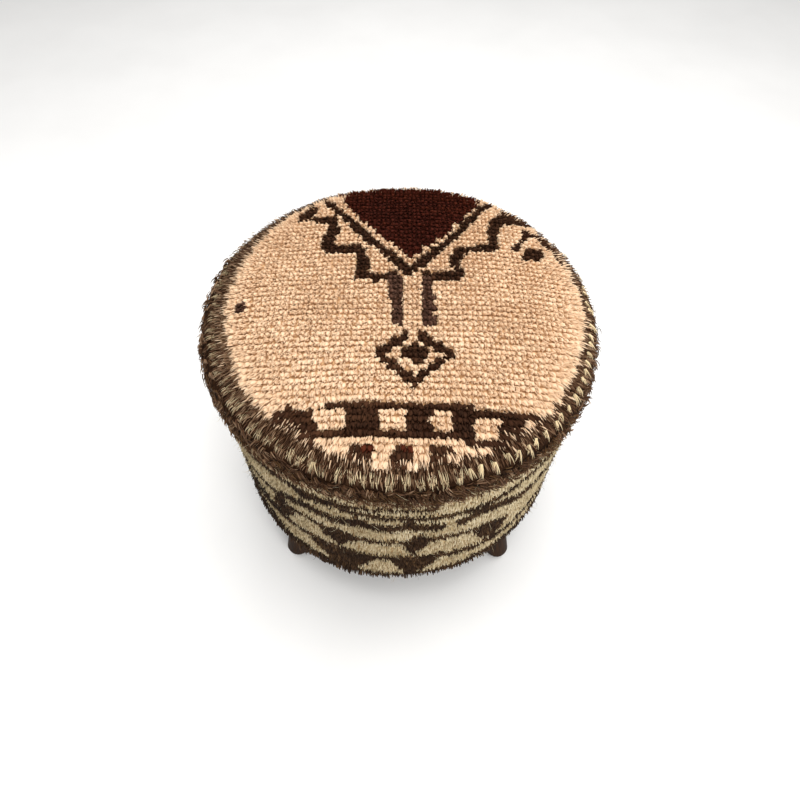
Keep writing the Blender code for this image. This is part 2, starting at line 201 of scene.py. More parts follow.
@dataclass(frozen=True)
class Finish:
    """A real material, which makes its Blender material once."""

    name: ClassVar[str] = "finish"

    def material(self) -> bpy.types.Material:
        """Finds the material, or builds its nodes on the first call.

        Returns:
            The material.
        """
        found = bpy.data.materials.get(self.name)
        if found:
            return found
        material = bpy.data.materials.new(self.name)
        material.use_nodes = True
        tree = material.node_tree
        tree.nodes.clear()
        shader = add_node(tree, "ShaderNodeBsdfPrincipled")
        add_node(tree, "ShaderNodeOutputMaterial", {"Surface": shader})
        self.paint(tree, shader)
        return material

    def paint(self, tree: Tree, shader: Node) -> None:
        """Adds the nodes of this finish."""
        raise NotImplementedError

    @staticmethod
    def object_noise(
        tree: Tree, lump: float, stretch: Sequence[float] = (1, 1, 1), detail: float = 4.0
    ) -> Socket:
        """Noise on Object coordinates.

        Args:
            tree: The material's tree.
            lump: Size of the lumps in metres.
            stretch: How many times longer the lumps are along X, Y and Z.
            detail: Octaves of finer noise.

        Returns:
            The socket with values about 0.5.
        """
        place = add_node(tree, "ShaderNodeTexCoord").outputs["Object"]
        scale = tuple(1 / (lump * times) for times in stretch)
        mapped = add_node(tree, "ShaderNodeMapping", {"Vector": place, "Scale": scale})
        inputs = {"Vector": mapped, "Scale": 1.0, "Detail": detail}
        return add_node(tree, "ShaderNodeTexNoise", inputs).outputs["Fac"]

    @staticmethod
    def pattern(
        tree: Tree,
        shader: Node,
        factor: Socket,
        stops: Stops,
        depth: float = 0.0,
        strength: float = 0.0,
    ) -> None:
        """Colours the surface by a pattern, and raises it by the same pattern.

        Args:
            tree: The material's tree.
            shader: Its Principled shader.
            factor: The pattern, from 0 to 1.
            stops: Position in the pattern and hex colour of each stop.
            depth: Height of the relief in metres, 0 for none.
            strength: Share of the relief that shows.
        """
        ramp = add_node(tree, "ShaderNodeValToRGB", {"Fac": factor})
        set_ramp(ramp, stops)
        plug(tree, shader, {"Base Color": ramp})
        if depth:
            inputs = {"Height": factor, "Distance": depth, "Strength": strength}
            plug(tree, shader, {"Normal": add_node(tree, "ShaderNodeBump", inputs)})


class Wool(Enum):
    """Yarns of the pile, each with its dark, middle and light shade."""

    CREAM = ("#cdaa87", "#dfbf9d", "#eacfb0")
    BROWN = ("#211209", "#392113", "#503320")
    FADED = ("#36221a", "#51372b", "#6c4e3f")
    MAROON = ("#290800", "#3f1307", "#54220f")
    BEIGE = ("#a3926f", "#cbbb98", "#e6d9ba")
    UMBER = ("#1e1108", "#352212", "#664c30")
    WALNUT = ("#3a2415", "#664a36", "#a88c70")
    RUST = ("#34150a", "#4c2010", "#62301a")

    def tone(self, shade: float) -> float:
        """Where a shade of this yarn lies on the pile's tone axis.

        Args:
            shade: From 0, dark, to 1, light.

        Returns:
            The place from 0 to 1, inside this yarn's own stretch.
        """
        stretch = 1 / len(Wool)
        inset = 0.12
        return stretch * (list(Wool).index(self) + inset + (1 - 2 * inset) * clamp(shade))

    @classmethod
    def stops(cls) -> list[tuple[float, str]]:
        """The tone axis as ramp stops, three for each yarn."""
        shares = (0.0, 0.5, 1.0)
        return [(wool.tone(share), shade) for wool in cls for share, shade in zip(shares, wool.value)]


def dyed_yarn(
    tree: Tree, tone: Socket, light: Socket, shades: Stops
) -> Socket:
    """Works out the colour of the yarn, darkened by a shade.

    Args:
        tree: The material's tree.
        tone: The yarn's place on the tone axis.
        light: The pattern that the shade follows, from 0 to 1.
        shades: Position in that pattern and hex colour of each shade.

    Returns:
        The colour.
    """
    yarn = add_node(tree, "ShaderNodeValToRGB", {"Fac": tone})
    set_ramp(yarn, Wool.stops())
    shade = add_node(tree, "ShaderNodeValToRGB", {"Fac": light})
    set_ramp(shade, shades)
    inputs = {"Factor": 1.0, 6: yarn, 7: shade}
    return add_node(tree, "ShaderNodeMix", inputs, data_type="RGBA", blend_type="MULTIPLY").outputs[2]


@dataclass(frozen=True)
class WoolPile(Finish):
    """Hand-spun sheep's wool, cut as knotted pile: matt, soft at grazing angles, with painted shade darker
    down at the knots.
    """

    name: ClassVar[str] = "hand_spun_wool_pile"
    roughness: float = 0.88
    specular: float = 0.12
    sheen: float = 0.03
    sheen_roughness: float = 0.4
    sheen_tint: str = "#d9a878"
    painted_root_shade: str = "#e6dacd"
    painted_shade_height: float = 0.55

    def paint(self, tree: Tree, shader: Node) -> None:
        """Reads the yarn's tone along U of its own map, and the height in the pile along V, which darkens it
        towards the root as painted shade.

        Args:
            tree: The material's tree.
            shader: Its Principled shader.
        """
        chart = add_node(tree, "ShaderNodeUVMap", uv_map=BAKE_MAP)
        axes = add_node(tree, "ShaderNodeSeparateXYZ", {0: chart}).outputs
        # painted shade: the yarn is darkened from the root up to a share of its height, in place of the shade
        # deep in the pile
        shades = [(0.0, self.painted_root_shade), (self.painted_shade_height, "#ffffff")]
        surface = {
            "Base Color": dyed_yarn(tree, axes["X"], axes["Y"], shades),
            "Roughness": self.roughness,
            "Specular IOR Level": self.specular,
            "Sheen Weight": self.sheen,
            "Sheen Roughness": self.sheen_roughness,
            "Sheen Tint": linear(self.sheen_tint),
        }
        plug(tree, shader, surface)


@dataclass(frozen=True)
class CarpetGround(Finish):
    """Stubs of the knots on a woven wool ground, seen in the gaps: the yarn's colour, darkened overall as
    painted shade of the gaps, and darker on the warp.
    """

    name: ClassVar[str] = "woven_wool_ground"
    dark: str = "#b8a590"
    light: str = "#e8dccb"
    thread: float = 2.8 * MM
    wave_rate: ClassVar[float] = 20.0

    def paint(self, tree: Tree, shader: Node) -> None:
        """Reads the yarn at each place, darkens it throughout as painted shade of the gaps, and shades it
        further with two crossed sets of fine bands.

        Args:
            tree: The material's tree.
            shader: Its Principled shader.
        """
        tone = add_node(tree, "ShaderNodeAttribute", attribute_name=YARN).outputs["Fac"]
        place = add_node(tree, "ShaderNodeTexCoord").outputs["Object"]
        bands = {"Vector": place, "Scale": math.pi / self.thread / self.wave_rate, "Distortion": 0.6}
        warp = add_node(tree, "ShaderNodeTexWave", bands, bands_direction="X").outputs["Fac"]
        weft = add_node(tree, "ShaderNodeTexWave", bands, bands_direction="Y").outputs["Fac"]
        woven = add_node(tree, "ShaderNodeMath", {0: warp, 1: weft}, operation="MULTIPLY").outputs[0]
        relief = {"Height": woven, "Distance": 0.6 * MM, "Strength": 0.6}
        surface = {
            # painted shade: both shades lie below white, so the ground is always darker than its yarn,
            # standing for the shade between the tufts
            "Base Color": dyed_yarn(tree, tone, woven, [(0.0, self.dark), (0.6, self.light)]),
            "Normal": add_node(tree, "ShaderNodeBump", relief),
            "Roughness": 0.95,
            "Specular IOR Level": 0.1,
        }
        plug(tree, shader, surface)


@dataclass(frozen=True)
class CottonYarn(Finish):
    """Unbleached cotton sewing yarn, several strands laid together: pale, slightly glossy, grey with use."""

    name: ClassVar[str] = "unbleached_cotton_yarn"
    dark: str = "#836b45"
    light: str = "#f3dcae"

    def paint(self, tree: Tree, shader: Node) -> None:
        """Reads each strand's own shade along U of its map.

        Args:
            tree: The material's tree.
            shader: Its Principled shader.
        """
        chart = add_node(tree, "ShaderNodeUVMap", uv_map=BAKE_MAP)
        axes = add_node(tree, "ShaderNodeSeparateXYZ", {0: chart}).outputs
        self.pattern(tree, shader, axes["X"], [(0.0, self.dark), (0.9, self.light)])
        plug(tree, shader, {"Roughness": 0.7, "Sheen Weight": 0.15})


@dataclass(frozen=True)
class StainedBeech(Finish):
    """Beech turned on a lathe, stained walnut and oiled: dark, with long fine pores and a low even gloss."""

    name: ClassVar[str] = "walnut_stained_beech"
    dark: str = "#120700"
    light: str = "#38200c"
    pore: float = 1.1 * MM
    pore_length: float = 22.0

    def paint(self, tree: Tree, shader: Node) -> None:
        """Stretches noise along the piece's own grain.

        Args:
            tree: The material's tree.
            shader: Its Principled shader.
        """
        place = add_node(tree, "ShaderNodeAttribute", attribute_name=GRAIN).outputs["Vector"]
        scale = (1 / self.pore, 1 / self.pore, 1 / (self.pore * self.pore_length))
        mapped = add_node(tree, "ShaderNodeMapping", {"Vector": place, "Scale": scale})
        inputs = {"Vector": mapped, "Scale": 1.0, "Detail": 5.0, "Distortion": 0.4}
        pores = add_node(tree, "ShaderNodeTexNoise", inputs).outputs["Fac"]
        self.pattern(tree, shader, pores, [(0.3, self.dark), (0.72, self.light)], 0.15 * MM, 0.5)
        gloss = add_node(tree, "ShaderNodeMapRange", {"Value": pores, "To Min": 0.5, "To Max": 0.66})
        plug(tree, shader, {"Roughness": gloss, "Specular IOR Level": 0.1})


@dataclass(frozen=True)
class BoardWood(Finish):
    """Birch plywood of the drum's boards: growth bands stretched along the grain, dry and matt."""

    name: ClassVar[str] = "birch_plywood"
    dark: str = "#b98d5c"
    light: str = "#e0bf90"
    band: float = 5 * MM
    stretch: tuple[float, float, float] = (14.0, 1.0, 0.4)

    def paint(self, tree: Tree, shader: Node) -> None:
        """Stretches noise along the board.

        Args:
            tree: The material's tree.
            shader: Its Principled shader.
        """
        bands = self.object_noise(tree, self.band, self.stretch, 6.0)
        self.pattern(tree, shader, bands, [(0.32, self.dark), (0.68, self.light)], 0.2 * MM, 0.4)
        plug(tree, shader, {"Roughness": 0.72})


@dataclass(frozen=True)
class SawnPine(BoardWood):
    """Sawn pine of the posts: yellow, with upright growth bands."""

    name: ClassVar[str] = "sawn_pine"
    dark: str = "#b57f45"
    light: str = "#e7c38d"
    band: float = 4 * MM
    stretch: tuple[float, float, float] = (1.0, 1.0, 18.0)


@dataclass(frozen=True)
class StainedBlock(BoardWood):
    """Beech of the leg blocks, sawn and stained like the legs, with the grain level."""

    name: ClassVar[str] = "walnut_stained_beech_block"
    dark: str = "#241306"
    light: str = "#4a2f17"
    band: float = 1.4 * MM
    stretch: tuple[float, float, float] = (9.0, 9.0, 1.0)


@dataclass(frozen=True)
class Hardboard(BoardWood):
    """Pressed brown fibreboard of the drum wall: fine even fibres, no grain."""

    name: ClassVar[str] = "pressed_hardboard"
    dark: str = "#54371f"
    light: str = "#7c5735"
    band: float = 1.5 * MM
    stretch: tuple[float, float, float] = (1.0, 1.0, 1.0)


@dataclass(frozen=True)
class SeatFoam(BoardWood):
    """Cut polyurethane foam: cream yellow with fine open cells."""

    name: ClassVar[str] = "polyurethane_foam"
    dark: str = "#c8ac6a"
    light: str = "#ead9a4"
    band: float = 1.2 * MM
    stretch: tuple[float, float, float] = (1.0, 1.0, 1.0)


@dataclass(frozen=True)
class WoolFelt(BoardWood):
    """Grey needle felt made from waste wool: cloudy, with flecks of fibre."""

    name: ClassVar[str] = "grey_needle_felt"
    dark: str = "#5c5750"
    light: str = "#9a938a"
    band: float = 3 * MM
    stretch: tuple[float, float, float] = (1.0, 1.0, 1.6)


@dataclass(frozen=True)
class DustCloth(Finish):
    """Black spun-bonded cloth under the drum: dull, pressed with a grid of fine dots that look lighter."""

    name: ClassVar[str] = "black_spunbond_cloth"
    dot: str = "#35353a"
    ground: str = "#1a1a1d"
    dot_pitch: float = 2.4 * MM

    def paint(self, tree: Tree, shader: Node) -> None:
        """Presses a grid of dots, drawn coarser than the real ones so that they show.

        Args:
            tree: The material's tree.
            shader: Its Principled shader.
        """
        place = add_node(tree, "ShaderNodeTexCoord").outputs["Object"]
        inputs = {"Vector": place, "Scale": 1 / self.dot_pitch, "Randomness": 0.0}
        dots = add_node(tree, "ShaderNodeTexVoronoi", inputs, voronoi_dimensions="2D").outputs["Distance"]
        self.pattern(tree, shader, dots, [(0.1, self.dot), (0.45, self.ground)], 0.3 * MM, 0.7)
        plug(tree, shader, {"Roughness": 0.85})


@dataclass(frozen=True)
class Metal(Finish):
    """Bright zinc-plated steel of screws, bolts and staples: satin, with faint cloudy wear."""

    name: ClassVar[str] = "zinc_plated_steel"
    dark: str = "#9aa0a2"
    light: str = "#c9cccb"
    rough: tuple[float, float] = (0.26, 0.44)
    metallic: float = 1.0
    lump: float = 1.6 * MM

    def paint(self, tree: Tree, shader: Node) -> None:
        """Clouds the colour and the gloss.

        Args:
            tree: The material's tree.
            shader: Its Principled shader.
        """
        cloud = self.object_noise(tree, self.lump)
        self.pattern(tree, shader, cloud, [(0.35, self.dark), (0.65, self.light)])
        inputs = {"Value": cloud, "To Min": self.rough[0], "To Max": self.rough[1]}
        gloss = add_node(tree, "ShaderNodeMapRange", inputs)
        plug(tree, shader, {"Roughness": gloss, "Metallic": self.metallic})


@dataclass(frozen=True)
class Brass(Metal):
    """Turned brass of the thread inserts: warm yellow, satin."""

    name: ClassVar[str] = "turned_brass"
    dark: str = "#a98238"
    light: str = "#d8b35c"


@dataclass(frozen=True)
class VulcanFibre(Metal):
    """Brick-red pressed fibre of the washers: matt, slightly mottled."""

    name: ClassVar[str] = "vulcanised_fibre"
    dark: str = "#5a1f17"
    light: str = "#7d3226"
    rough: tuple[float, float] = (0.55, 0.7)
    metallic: float = 0.0


@dataclass(frozen=True)
class GlideNylon(Metal):
    """Moulded brown nylon of the foot glides: smooth, scuffed dull underneath."""

    name: ClassVar[str] = "moulded_nylon"
    dark: str = "#2c211a"
    light: str = "#43352b"
    rough: tuple[float, float] = (0.35, 0.6)
    metallic: float = 0.0


@dataclass(frozen=True)
class StudioFloor(Finish):
    """Matt white studio floor, with the faintest mottle."""

    name: ClassVar[str] = "matt_studio_floor"
    dark: str = "#f6f5f3"
    light: str = "#fbfaf8"
    mottle: float = 0.2

    def paint(self, tree: Tree, shader: Node) -> None:
        """Keeps the floor pale and even.

        Args:
            tree: The material's tree.
            shader: Its Principled shader.
        """
        cloud = self.object_noise(tree, self.mottle)
        self.pattern(tree, shader, cloud, [(0.3, self.dark), (0.7, self.light)])
        plug(tree, shader, {"Roughness": 0.9})


# Meshes


def new_piece(name: str, mesh: bpy.types.Mesh, finish: Finish | None = None) -> bpy.types.Object:
    """Links a mesh to the scene as a piece at the origin, in a finish.

    Args:
        name: The piece's name.
        mesh: Its mesh, in the part's frame.
        finish: Its finish, where the mesh has none of its own.

    Returns:
        The piece.
    """
    piece = bpy.data.objects.new(name, mesh)
    bpy.context.scene.collection.objects.link(piece)
    if finish:
        mesh.materials.clear()
        mesh.materials.append(finish.material())
    return piece


def turned(
    name: str, profile: Profile, sides: int, ring: bool, finish: Finish, place: Matrix | None = None
) -> bpy.types.Object:
    """Turns a closed profile about Z, keeping the place before it is moved as the grain.

    Args:
        name: The piece's name.
        profile: Radius and height of each point, down the outside and up the inside.
        sides: Sides round the axis.
        ring: True where the profile closes on itself and not on the axis.
        finish: The piece's finish.
        place: Matrix from the axis' own frame to the part's frame.

    Returns:
        The piece, closed and facing outwards.
    """
    bm = bmesh.new()
    verts = [bm.verts.new((radius, 0.0, height)) for radius, height in profile]
    edges = [bm.edges.new(pair) for pair in zip(verts, verts[1:])]
    if ring:
        edges.append(bm.edges.new((verts[-1], verts[0])))
    bmesh.ops.spin(bm, geom=verts + edges, axis=UP, cent=(0, 0, 0), angle=FULL_TURN, steps=sides)
    bmesh.ops.remove_doubles(bm, verts=bm.verts, dist=WELD)
    bmesh.ops.recalc_face_normals(bm, faces=bm.faces)
    mesh = bpy.data.meshes.new(name)
    bm.to_mesh(mesh)
    bm.free()
    grain = mesh.attributes.new(GRAIN, "FLOAT_VECTOR", "POINT")
    grain.data.foreach_set("vector", [value for vert in mesh.vertices for value in vert.co])
    mesh.shade_smooth()
    mesh.set_sharp_from_angle(angle=SHARP_ANGLE)
    if place:
        mesh.transform(place)
    return new_piece(name, mesh, finish)


def plain_mesh(piece: bpy.types.Object) -> None:
    """Turns a piece with modifiers into the mesh that they make, and takes the modifiers off.

    Args:
        piece: The piece.
    """
    depsgraph = bpy.context.evaluated_depsgraph_get()
    made = piece.evaluated_get(depsgraph)
    mesh = bpy.data.meshes.new_from_object(made, preserve_all_data_layers=True, depsgraph=depsgraph)
    mesh.name = piece.name
    piece.modifiers.clear()
    old = piece.data
    piece.data = mesh
    bpy.data.meshes.remove(old)


def mount(piece: bpy.types.Object, body: str, slot: str, *nodes: str) -> bpy.types.Object:
    """Makes a piece ride on a body, and hides the CAD nodes that it replaces.

    Args:
        piece: The piece.
        body: The body that carries it.
        slot: Not used.
        *nodes: The CAD nodes that it replaces.

    Returns:
        The piece.
    """
    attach(piece, body)
    if nodes:
        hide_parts(*nodes)
    LOG.info("%s rides on %s, %d faces", piece.name, body, len(piece.data.polygons))
    return piece


# Knots and tufts


@dataclass
class KnotChart:
    """Where each tuft stands, which way it rises and lies, how long it is, and the tone of its yarn."""

    places: list[Vector] = field(default_factory=list)
    rises: list[Vector] = field(default_factory=list)
    naps: list[Vector] = field(default_factory=list)
    reaches: list[float] = field(default_factory=list)
    tones: list[float] = field(default_factory=list)

    def tie(self, place: Vector, rise: Vector, nap: Vector, reach: float, tone: float) -> None:
        """Adds one knot.

        Args:
            place: Where it is tied.
            rise: The way that its tuft starts.
            nap: The way that its tuft curls.
            reach: Length of the tuft.
            tone: Tone of its yarn.
        """
        self.places.append(place)
        self.rises.append(rise)
        self.naps.append(nap)
        self.reaches.append(reach)
        self.tones.append(tone)

    def stretched(self, share: float) -> KnotChart:
        """The same knots with longer or shorter tufts."""
        reaches = [reach * share for reach in self.reaches]
        return KnotChart(self.places, self.rises, self.naps, reaches, self.tones)

    def points(self, name: str) -> bpy.types.Mesh:
        """Turns the knots into loose points that carry their values as attributes.

        Args:
            name: The mesh's name.

        Returns:
            The mesh of points.
        """
        mesh = bpy.data.meshes.new(name)
        mesh.from_pydata([tuple(place) for place in self.places], [], [])
        for label, vectors in (("rise", self.rises), ("nap", self.naps)):
            layer = mesh.attributes.new(label, "FLOAT_VECTOR", "POINT")
            layer.data.foreach_set("vector", [value for vector in vectors for value in vector])
        for label, values in (("reach", self.reaches), ("tone", self.tones)):
            layer = mesh.attributes.new(label, "FLOAT", "POINT")
            layer.data.foreach_set("value", values)
        return mesh


class TuftTree:
    """Geometry nodes that stand a bundle of curled plies on every knot of a chart."""

    NAME: ClassVar[str] = "Tufts on knots"
    SOCKETS: ClassVar[tuple[tuple[str, str], ...]] = (
        ("Knots", "NodeSocketGeometry"),
        ("Plies", "NodeSocketInt"),
        ("Sides", "NodeSocketInt"),
        ("Rings", "NodeSocketInt"),
        ("Slimness", "NodeSocketFloat"),
        ("Curl", "NodeSocketFloat"),
        ("Spread", "NodeSocketFloat"),
        ("Splay", "NodeSocketFloat"),
        ("Stray", "NodeSocketFloat"),
        ("Uneven", "NodeSocketFloat"),
        ("Tone range", "NodeSocketFloat"),
        ("Seed", "NodeSocketInt"),
        ("Yarn", "NodeSocketMaterial"),
    )
    TONE_WIDTH: ClassVar[float] = 0.004
    CROWDING: ClassVar[float] = 1.7
    BLUNTNESS: ClassVar[float] = 4.0
    TIP_WELD: ClassVar[float] = 1e-4
    SPENT: ClassVar[tuple[str, ...]] = ("rise", "nap", "reach", "tone", "around", "height")

    @classmethod
    def group(cls) -> Tree:
        """The node group, built on the first call."""
        return bpy.data.node_groups.get(cls.NAME) or cls()._build()

    def _build(self) -> Tree:
        """Builds the group: one ply, its copies round each knot, and the map that colours are read from.

        Returns:
            The group.
        """
        tree = bpy.data.node_groups.new(self.NAME, "GeometryNodeTree")
        for label, kind in self.SOCKETS:
            tree.interface.new_socket(label, in_out="INPUT", socket_type=kind)
        tree.interface.new_socket("Tufts", in_out="OUTPUT", socket_type="NodeSocketGeometry")
        sizes = tree.nodes.new("NodeGroupInput").outputs
        ply = self._ply(tree, sizes)
        charted = self._chart(tree, self._bundle(tree, sizes, ply))
        dyed = add_node(tree, "GeometryNodeSetMaterial", {"Geometry": charted, "Material": sizes["Yarn"]})
        add_node(tree, "NodeGroupOutput", {0: dyed})
        return tree

    def _ply(self, tree: Tree, sizes: Any) -> Node:
        """Makes one ply of unit length: it starts along Z, curls towards X and ends in a round tip.

        Args:
            tree: The group.
            sizes: The group's inputs.

        Returns:
            The node that gives the ply's mesh.
        """
        add = partial(add_node, tree)
        share = add("GeometryNodeSplineParameter").outputs["Factor"]
        left = add("ShaderNodeMath", {0: 1.0, 1: share}, operation="SUBTRACT")
        rest = add("ShaderNodeMath", {0: left, 1: self.CROWDING}, operation="POWER")
        along_ply = add("ShaderNodeMath", {0: 1.0, 1: rest}, operation="SUBTRACT")
        line = add("GeometryNodeCurvePrimitiveLine", {"End": (0, 0, 1)})
        rings = add("GeometryNodeResampleCurve", {"Curve": line, "Count": sizes["Rings"]})
        height = {"Geometry": rings, "Name": "height", "Value": along_ply}
        kept = add("GeometryNodeStoreNamedAttribute", height)
        turn = add("ShaderNodeMath", {0: along_ply, 1: sizes["Curl"]}, operation="MULTIPLY")
        cosine = add("ShaderNodeMath", {0: turn}, operation="COSINE")
        sine = add("ShaderNodeMath", {0: turn}, operation="SINE")
        drop = add("ShaderNodeMath", {0: 1.0, 1: cosine}, operation="SUBTRACT")
        x = add("ShaderNodeMath", {0: drop, 1: sizes["Curl"]}, operation="DIVIDE")
        z = add("ShaderNodeMath", {0: sine, 1: sizes["Curl"]}, operation="DIVIDE")
        path = add("ShaderNodeCombineXYZ", {"X": x, "Z": z})
        curled = add("GeometryNodeSetPosition", {"Geometry": kept, "Position": path})
        taper = add("ShaderNodeMath", {0: along_ply, 1: self.BLUNTNESS}, operation="POWER")
        blunt = add("ShaderNodeMath", {0: 1.0, 1: taper}, operation="SUBTRACT")
        tip = add("ShaderNodeMath", {0: blunt}, operation="SQRT")
        girth = add("ShaderNodeMath", {0: tip, 1: sizes["Slimness"]}, operation="MULTIPLY")
        circle = add("GeometryNodeCurvePrimitiveCircle", {"Resolution": sizes["Sides"], "Radius": 1.0})
        around = {"Geometry": circle, "Name": "around", "Value": along_ply}
        marked = add("GeometryNodeStoreNamedAttribute", around)
        skin = add("GeometryNodeCurveToMesh", {"Curve": curled, "Profile Curve": marked, "Scale": girth})
        closed = add("GeometryNodeMergeByDistance", {"Geometry": skin, "Distance": self.TIP_WELD})
        return add("GeometryNodeSetShadeSmooth", {"Geometry": closed})

    def _bundle(self, tree: Tree, sizes: Any, ply: Node) -> Node:
        """Copies the ply round each knot, with its own place, lean, length and tone.

        Args:
            tree: The group.
            sizes: The group's inputs.
            ply: The node that gives the ply's mesh.

        Returns:
            The node that gives the tufts as one mesh.
        """
        add = partial(add_node, tree)
        rise = add("GeometryNodeInputNamedAttribute", {"Name": "rise"}, data_type="FLOAT_VECTOR")
        nap = add("GeometryNodeInputNamedAttribute", {"Name": "nap"}, data_type="FLOAT_VECTOR")
        reach = add("GeometryNodeInputNamedAttribute", {"Name": "reach"}, data_type="FLOAT")
        tone = add("GeometryNodeInputNamedAttribute", {"Name": "tone"}, data_type="FLOAT")
        knots = {0: sizes["Knots"], "Amount": sizes["Plies"]}
        copies = add("GeometryNodeDuplicateElements", knots, domain="POINT")
        throws = []
        for step in range(2):
            seed = add("ShaderNodeMath", {0: sizes["Seed"], 1: float(step)}, operation="ADD")
            dice = {0: (-1, -1, -1), 1: (1, 1, 1), "Seed": seed}
            throws.append(add("FunctionNodeRandomValue", dice, data_type="FLOAT_VECTOR"))
        spot, luck = throws
        upwards = add("ShaderNodeVectorMath", {0: spot, 1: rise}, operation="PROJECT")
        aside = add("ShaderNodeVectorMath", {0: spot, 1: upwards}, operation="SUBTRACT")
        offset = add("ShaderNodeVectorMath", {0: aside, "Scale": sizes["Spread"]}, operation="SCALE")
        placed = add("GeometryNodeSetPosition", {"Geometry": copies, "Offset": offset})
        splay = add("ShaderNodeVectorMath", {0: aside, "Scale": sizes["Splay"]}, operation="SCALE")
        stray = add("ShaderNodeVectorMath", {0: luck, "Scale": sizes["Stray"]}, operation="SCALE")
        splayed = add("ShaderNodeVectorMath", {0: rise, 1: splay}, operation="ADD")
        axis = add("ShaderNodeVectorMath", {0: splayed, 1: stray}, operation="ADD")
        turn = add("FunctionNodeAxesToRotation", {0: axis, 1: nap}, primary_axis="Z", secondary_axis="X")
        shares = add("ShaderNodeSeparateXYZ", {0: luck}).outputs
        uneven = {0: shares["X"], 1: sizes["Uneven"], 2: 1.0}
        stretch = add("ShaderNodeMath", uneven, operation="MULTIPLY_ADD")
        length = add("ShaderNodeMath", {0: reach, 1: stretch}, operation="MULTIPLY")
        shade = {0: shares["Y"], 1: sizes["Tone range"], 2: tone}
        own_tone = add("ShaderNodeMath", shade, operation="MULTIPLY_ADD")
        dyed = {"Geometry": placed, "Name": "tone", "Value": own_tone}
        toned = add("GeometryNodeStoreNamedAttribute", dyed)
        inputs = {"Points": toned, "Instance": ply, "Rotation": turn, "Scale": length}
        return add("GeometryNodeRealizeInstances", {0: add("GeometryNodeInstanceOnPoints", inputs)})

    def _chart(self, tree: Tree, tufts: Node) -> Node:
        """Writes the map that the finish reads: tone across, height in the pile upwards.

        Args:
            tree: The group.
            tufts: The node that gives the tufts.

        Returns:
            The node that gives the tufts with their map.
        """
        add = partial(add_node, tree)
        around = add("GeometryNodeInputNamedAttribute", {"Name": "around"}, data_type="FLOAT")
        height = add("GeometryNodeInputNamedAttribute", {"Name": "height"}, data_type="FLOAT")
        tone = add("GeometryNodeInputNamedAttribute", {"Name": "tone"}, data_type="FLOAT")
        across = add("ShaderNodeMath", {0: around, 1: self.TONE_WIDTH, 2: tone}, operation="MULTIPLY_ADD")
        spot = add("ShaderNodeCombineXYZ", {"X": across, "Y": height})
        inputs = {"Geometry": tufts, "Name": BAKE_MAP}
        kept = add("GeometryNodeStoreNamedAttribute", inputs, data_type="FLOAT2", domain="CORNER")
        value = next(socket for socket in kept.inputs if socket.name == "Value" and socket.enabled)
        tree.links.new(spot.outputs[0], value)
        return kept


@dataclass(frozen=True)
class Pile:
    """How a tuft is made up: its plies, how they curl and spread, and how uneven they are."""

    plies: int
    ply_radius: float
    reach: float
    spread: float
    splay: float
    curl: float
    stray: float
    uneven: float = 0.12
    tone_range: float = 0.012
    sides: int = 3
    rings: int = 4

    def weave(self, name: str, chart: KnotChart, finish: Finish, seed: int) -> bpy.types.Object:
        """Stands this tuft on every knot of a chart.

        Args:
            name: The piece's name.
            chart: The knots.
            finish: The yarn's finish.
            seed: Seed of the tufts' unevenness.

        Returns:
            The pile as a plain mesh.
        """
        piece = new_piece(name, chart.points(name))
        tree = TuftTree.group()
        modifier = piece.modifiers.new("Tufts", "NODES")
        modifier.node_group = tree
        values = {
            "Plies": self.plies,
            "Sides": self.sides,
            "Rings": self.rings,
            "Slimness": self.ply_radius / self.reach,
            "Curl": self.curl,
            "Spread": self.spread,
            "Splay": self.splay,
            "Stray": self.stray,
            "Uneven": self.uneven,
            "Tone range": self.tone_range,
            "Seed": seed,
            "Yarn": finish.material(),
        }
        for socket in tree.interface.items_tree:
            if socket.in_out == "INPUT" and socket.name in values:
                modifier[socket.identifier] = values[socket.name]
        plain_mesh(piece)
        for label in TuftTree.SPENT:
            layer = piece.data.attributes.get(label)
            if layer:
                piece.data.attributes.remove(layer)
        return piece


# Motifs, in millimetres


def inside(x: float, y: float, corners: Profile) -> bool:
    """Tells whether a point lies in a polygon.

    Args:
        x: The point's X.
        y: The point's Y.
        corners: The polygon's corners in order.

    Returns:
        True inside.
    """
    within = False
    for (ax, ay), (bx, by) in zip(corners, [*corners[1:], corners[0]]):
        if (ay > y) != (by > y) and x < ax + (y - ay) / (by - ay) * (bx - ax):
            within = not within
    return within


def distance_to_path(x: float, y: float, corners: Profile) -> float:
    """Measures from a point to a path of straight runs.

    Args:
        x: The point's X.
        y: The point's Y.
        corners: The path's corners in order.

    Returns:
        The distance.
    """
    nearest = math.inf
    for (ax, ay), (bx, by) in zip(corners, corners[1:]):
        run, climb = bx - ax, by - ay
        share = clamp(((x - ax) * run + (y - ay) * climb) / (run * run + climb * climb))
        nearest = min(nearest, math.hypot(x - ax - share * run, y - ay - share * climb))
    return nearest


@dataclass(frozen=True)
class Patch:
    """A filled figure of one yarn."""

    wool: Wool
    corners: Profile

    def covers(self, x: float, y: float, aspect: float = 1.0) -> bool:
        """True where the figure covers a point, with X units that are aspect times as long as Y units."""
        return inside(x, y, self.corners)


@dataclass(frozen=True)
class Stroke(Patch):
    """A drawn line of one yarn."""

    width: float

    def covers(self, x: float, y: float, aspect: float = 1.0) -> bool:
        """True where the line covers a point, with X units that are aspect times as long as Y units."""
        path = [(corner_x * aspect, corner_y) for corner_x, corner_y in self.corners]
        return distance_to_path(x * aspect, y, path) <= self.width / 2


def block(wool: Wool, left: float, right: float, low: float, high: float) -> Patch:
    """A rectangular figure."""
    return Patch(wool, ((left, low), (right, low), (right, high), (left, high)))


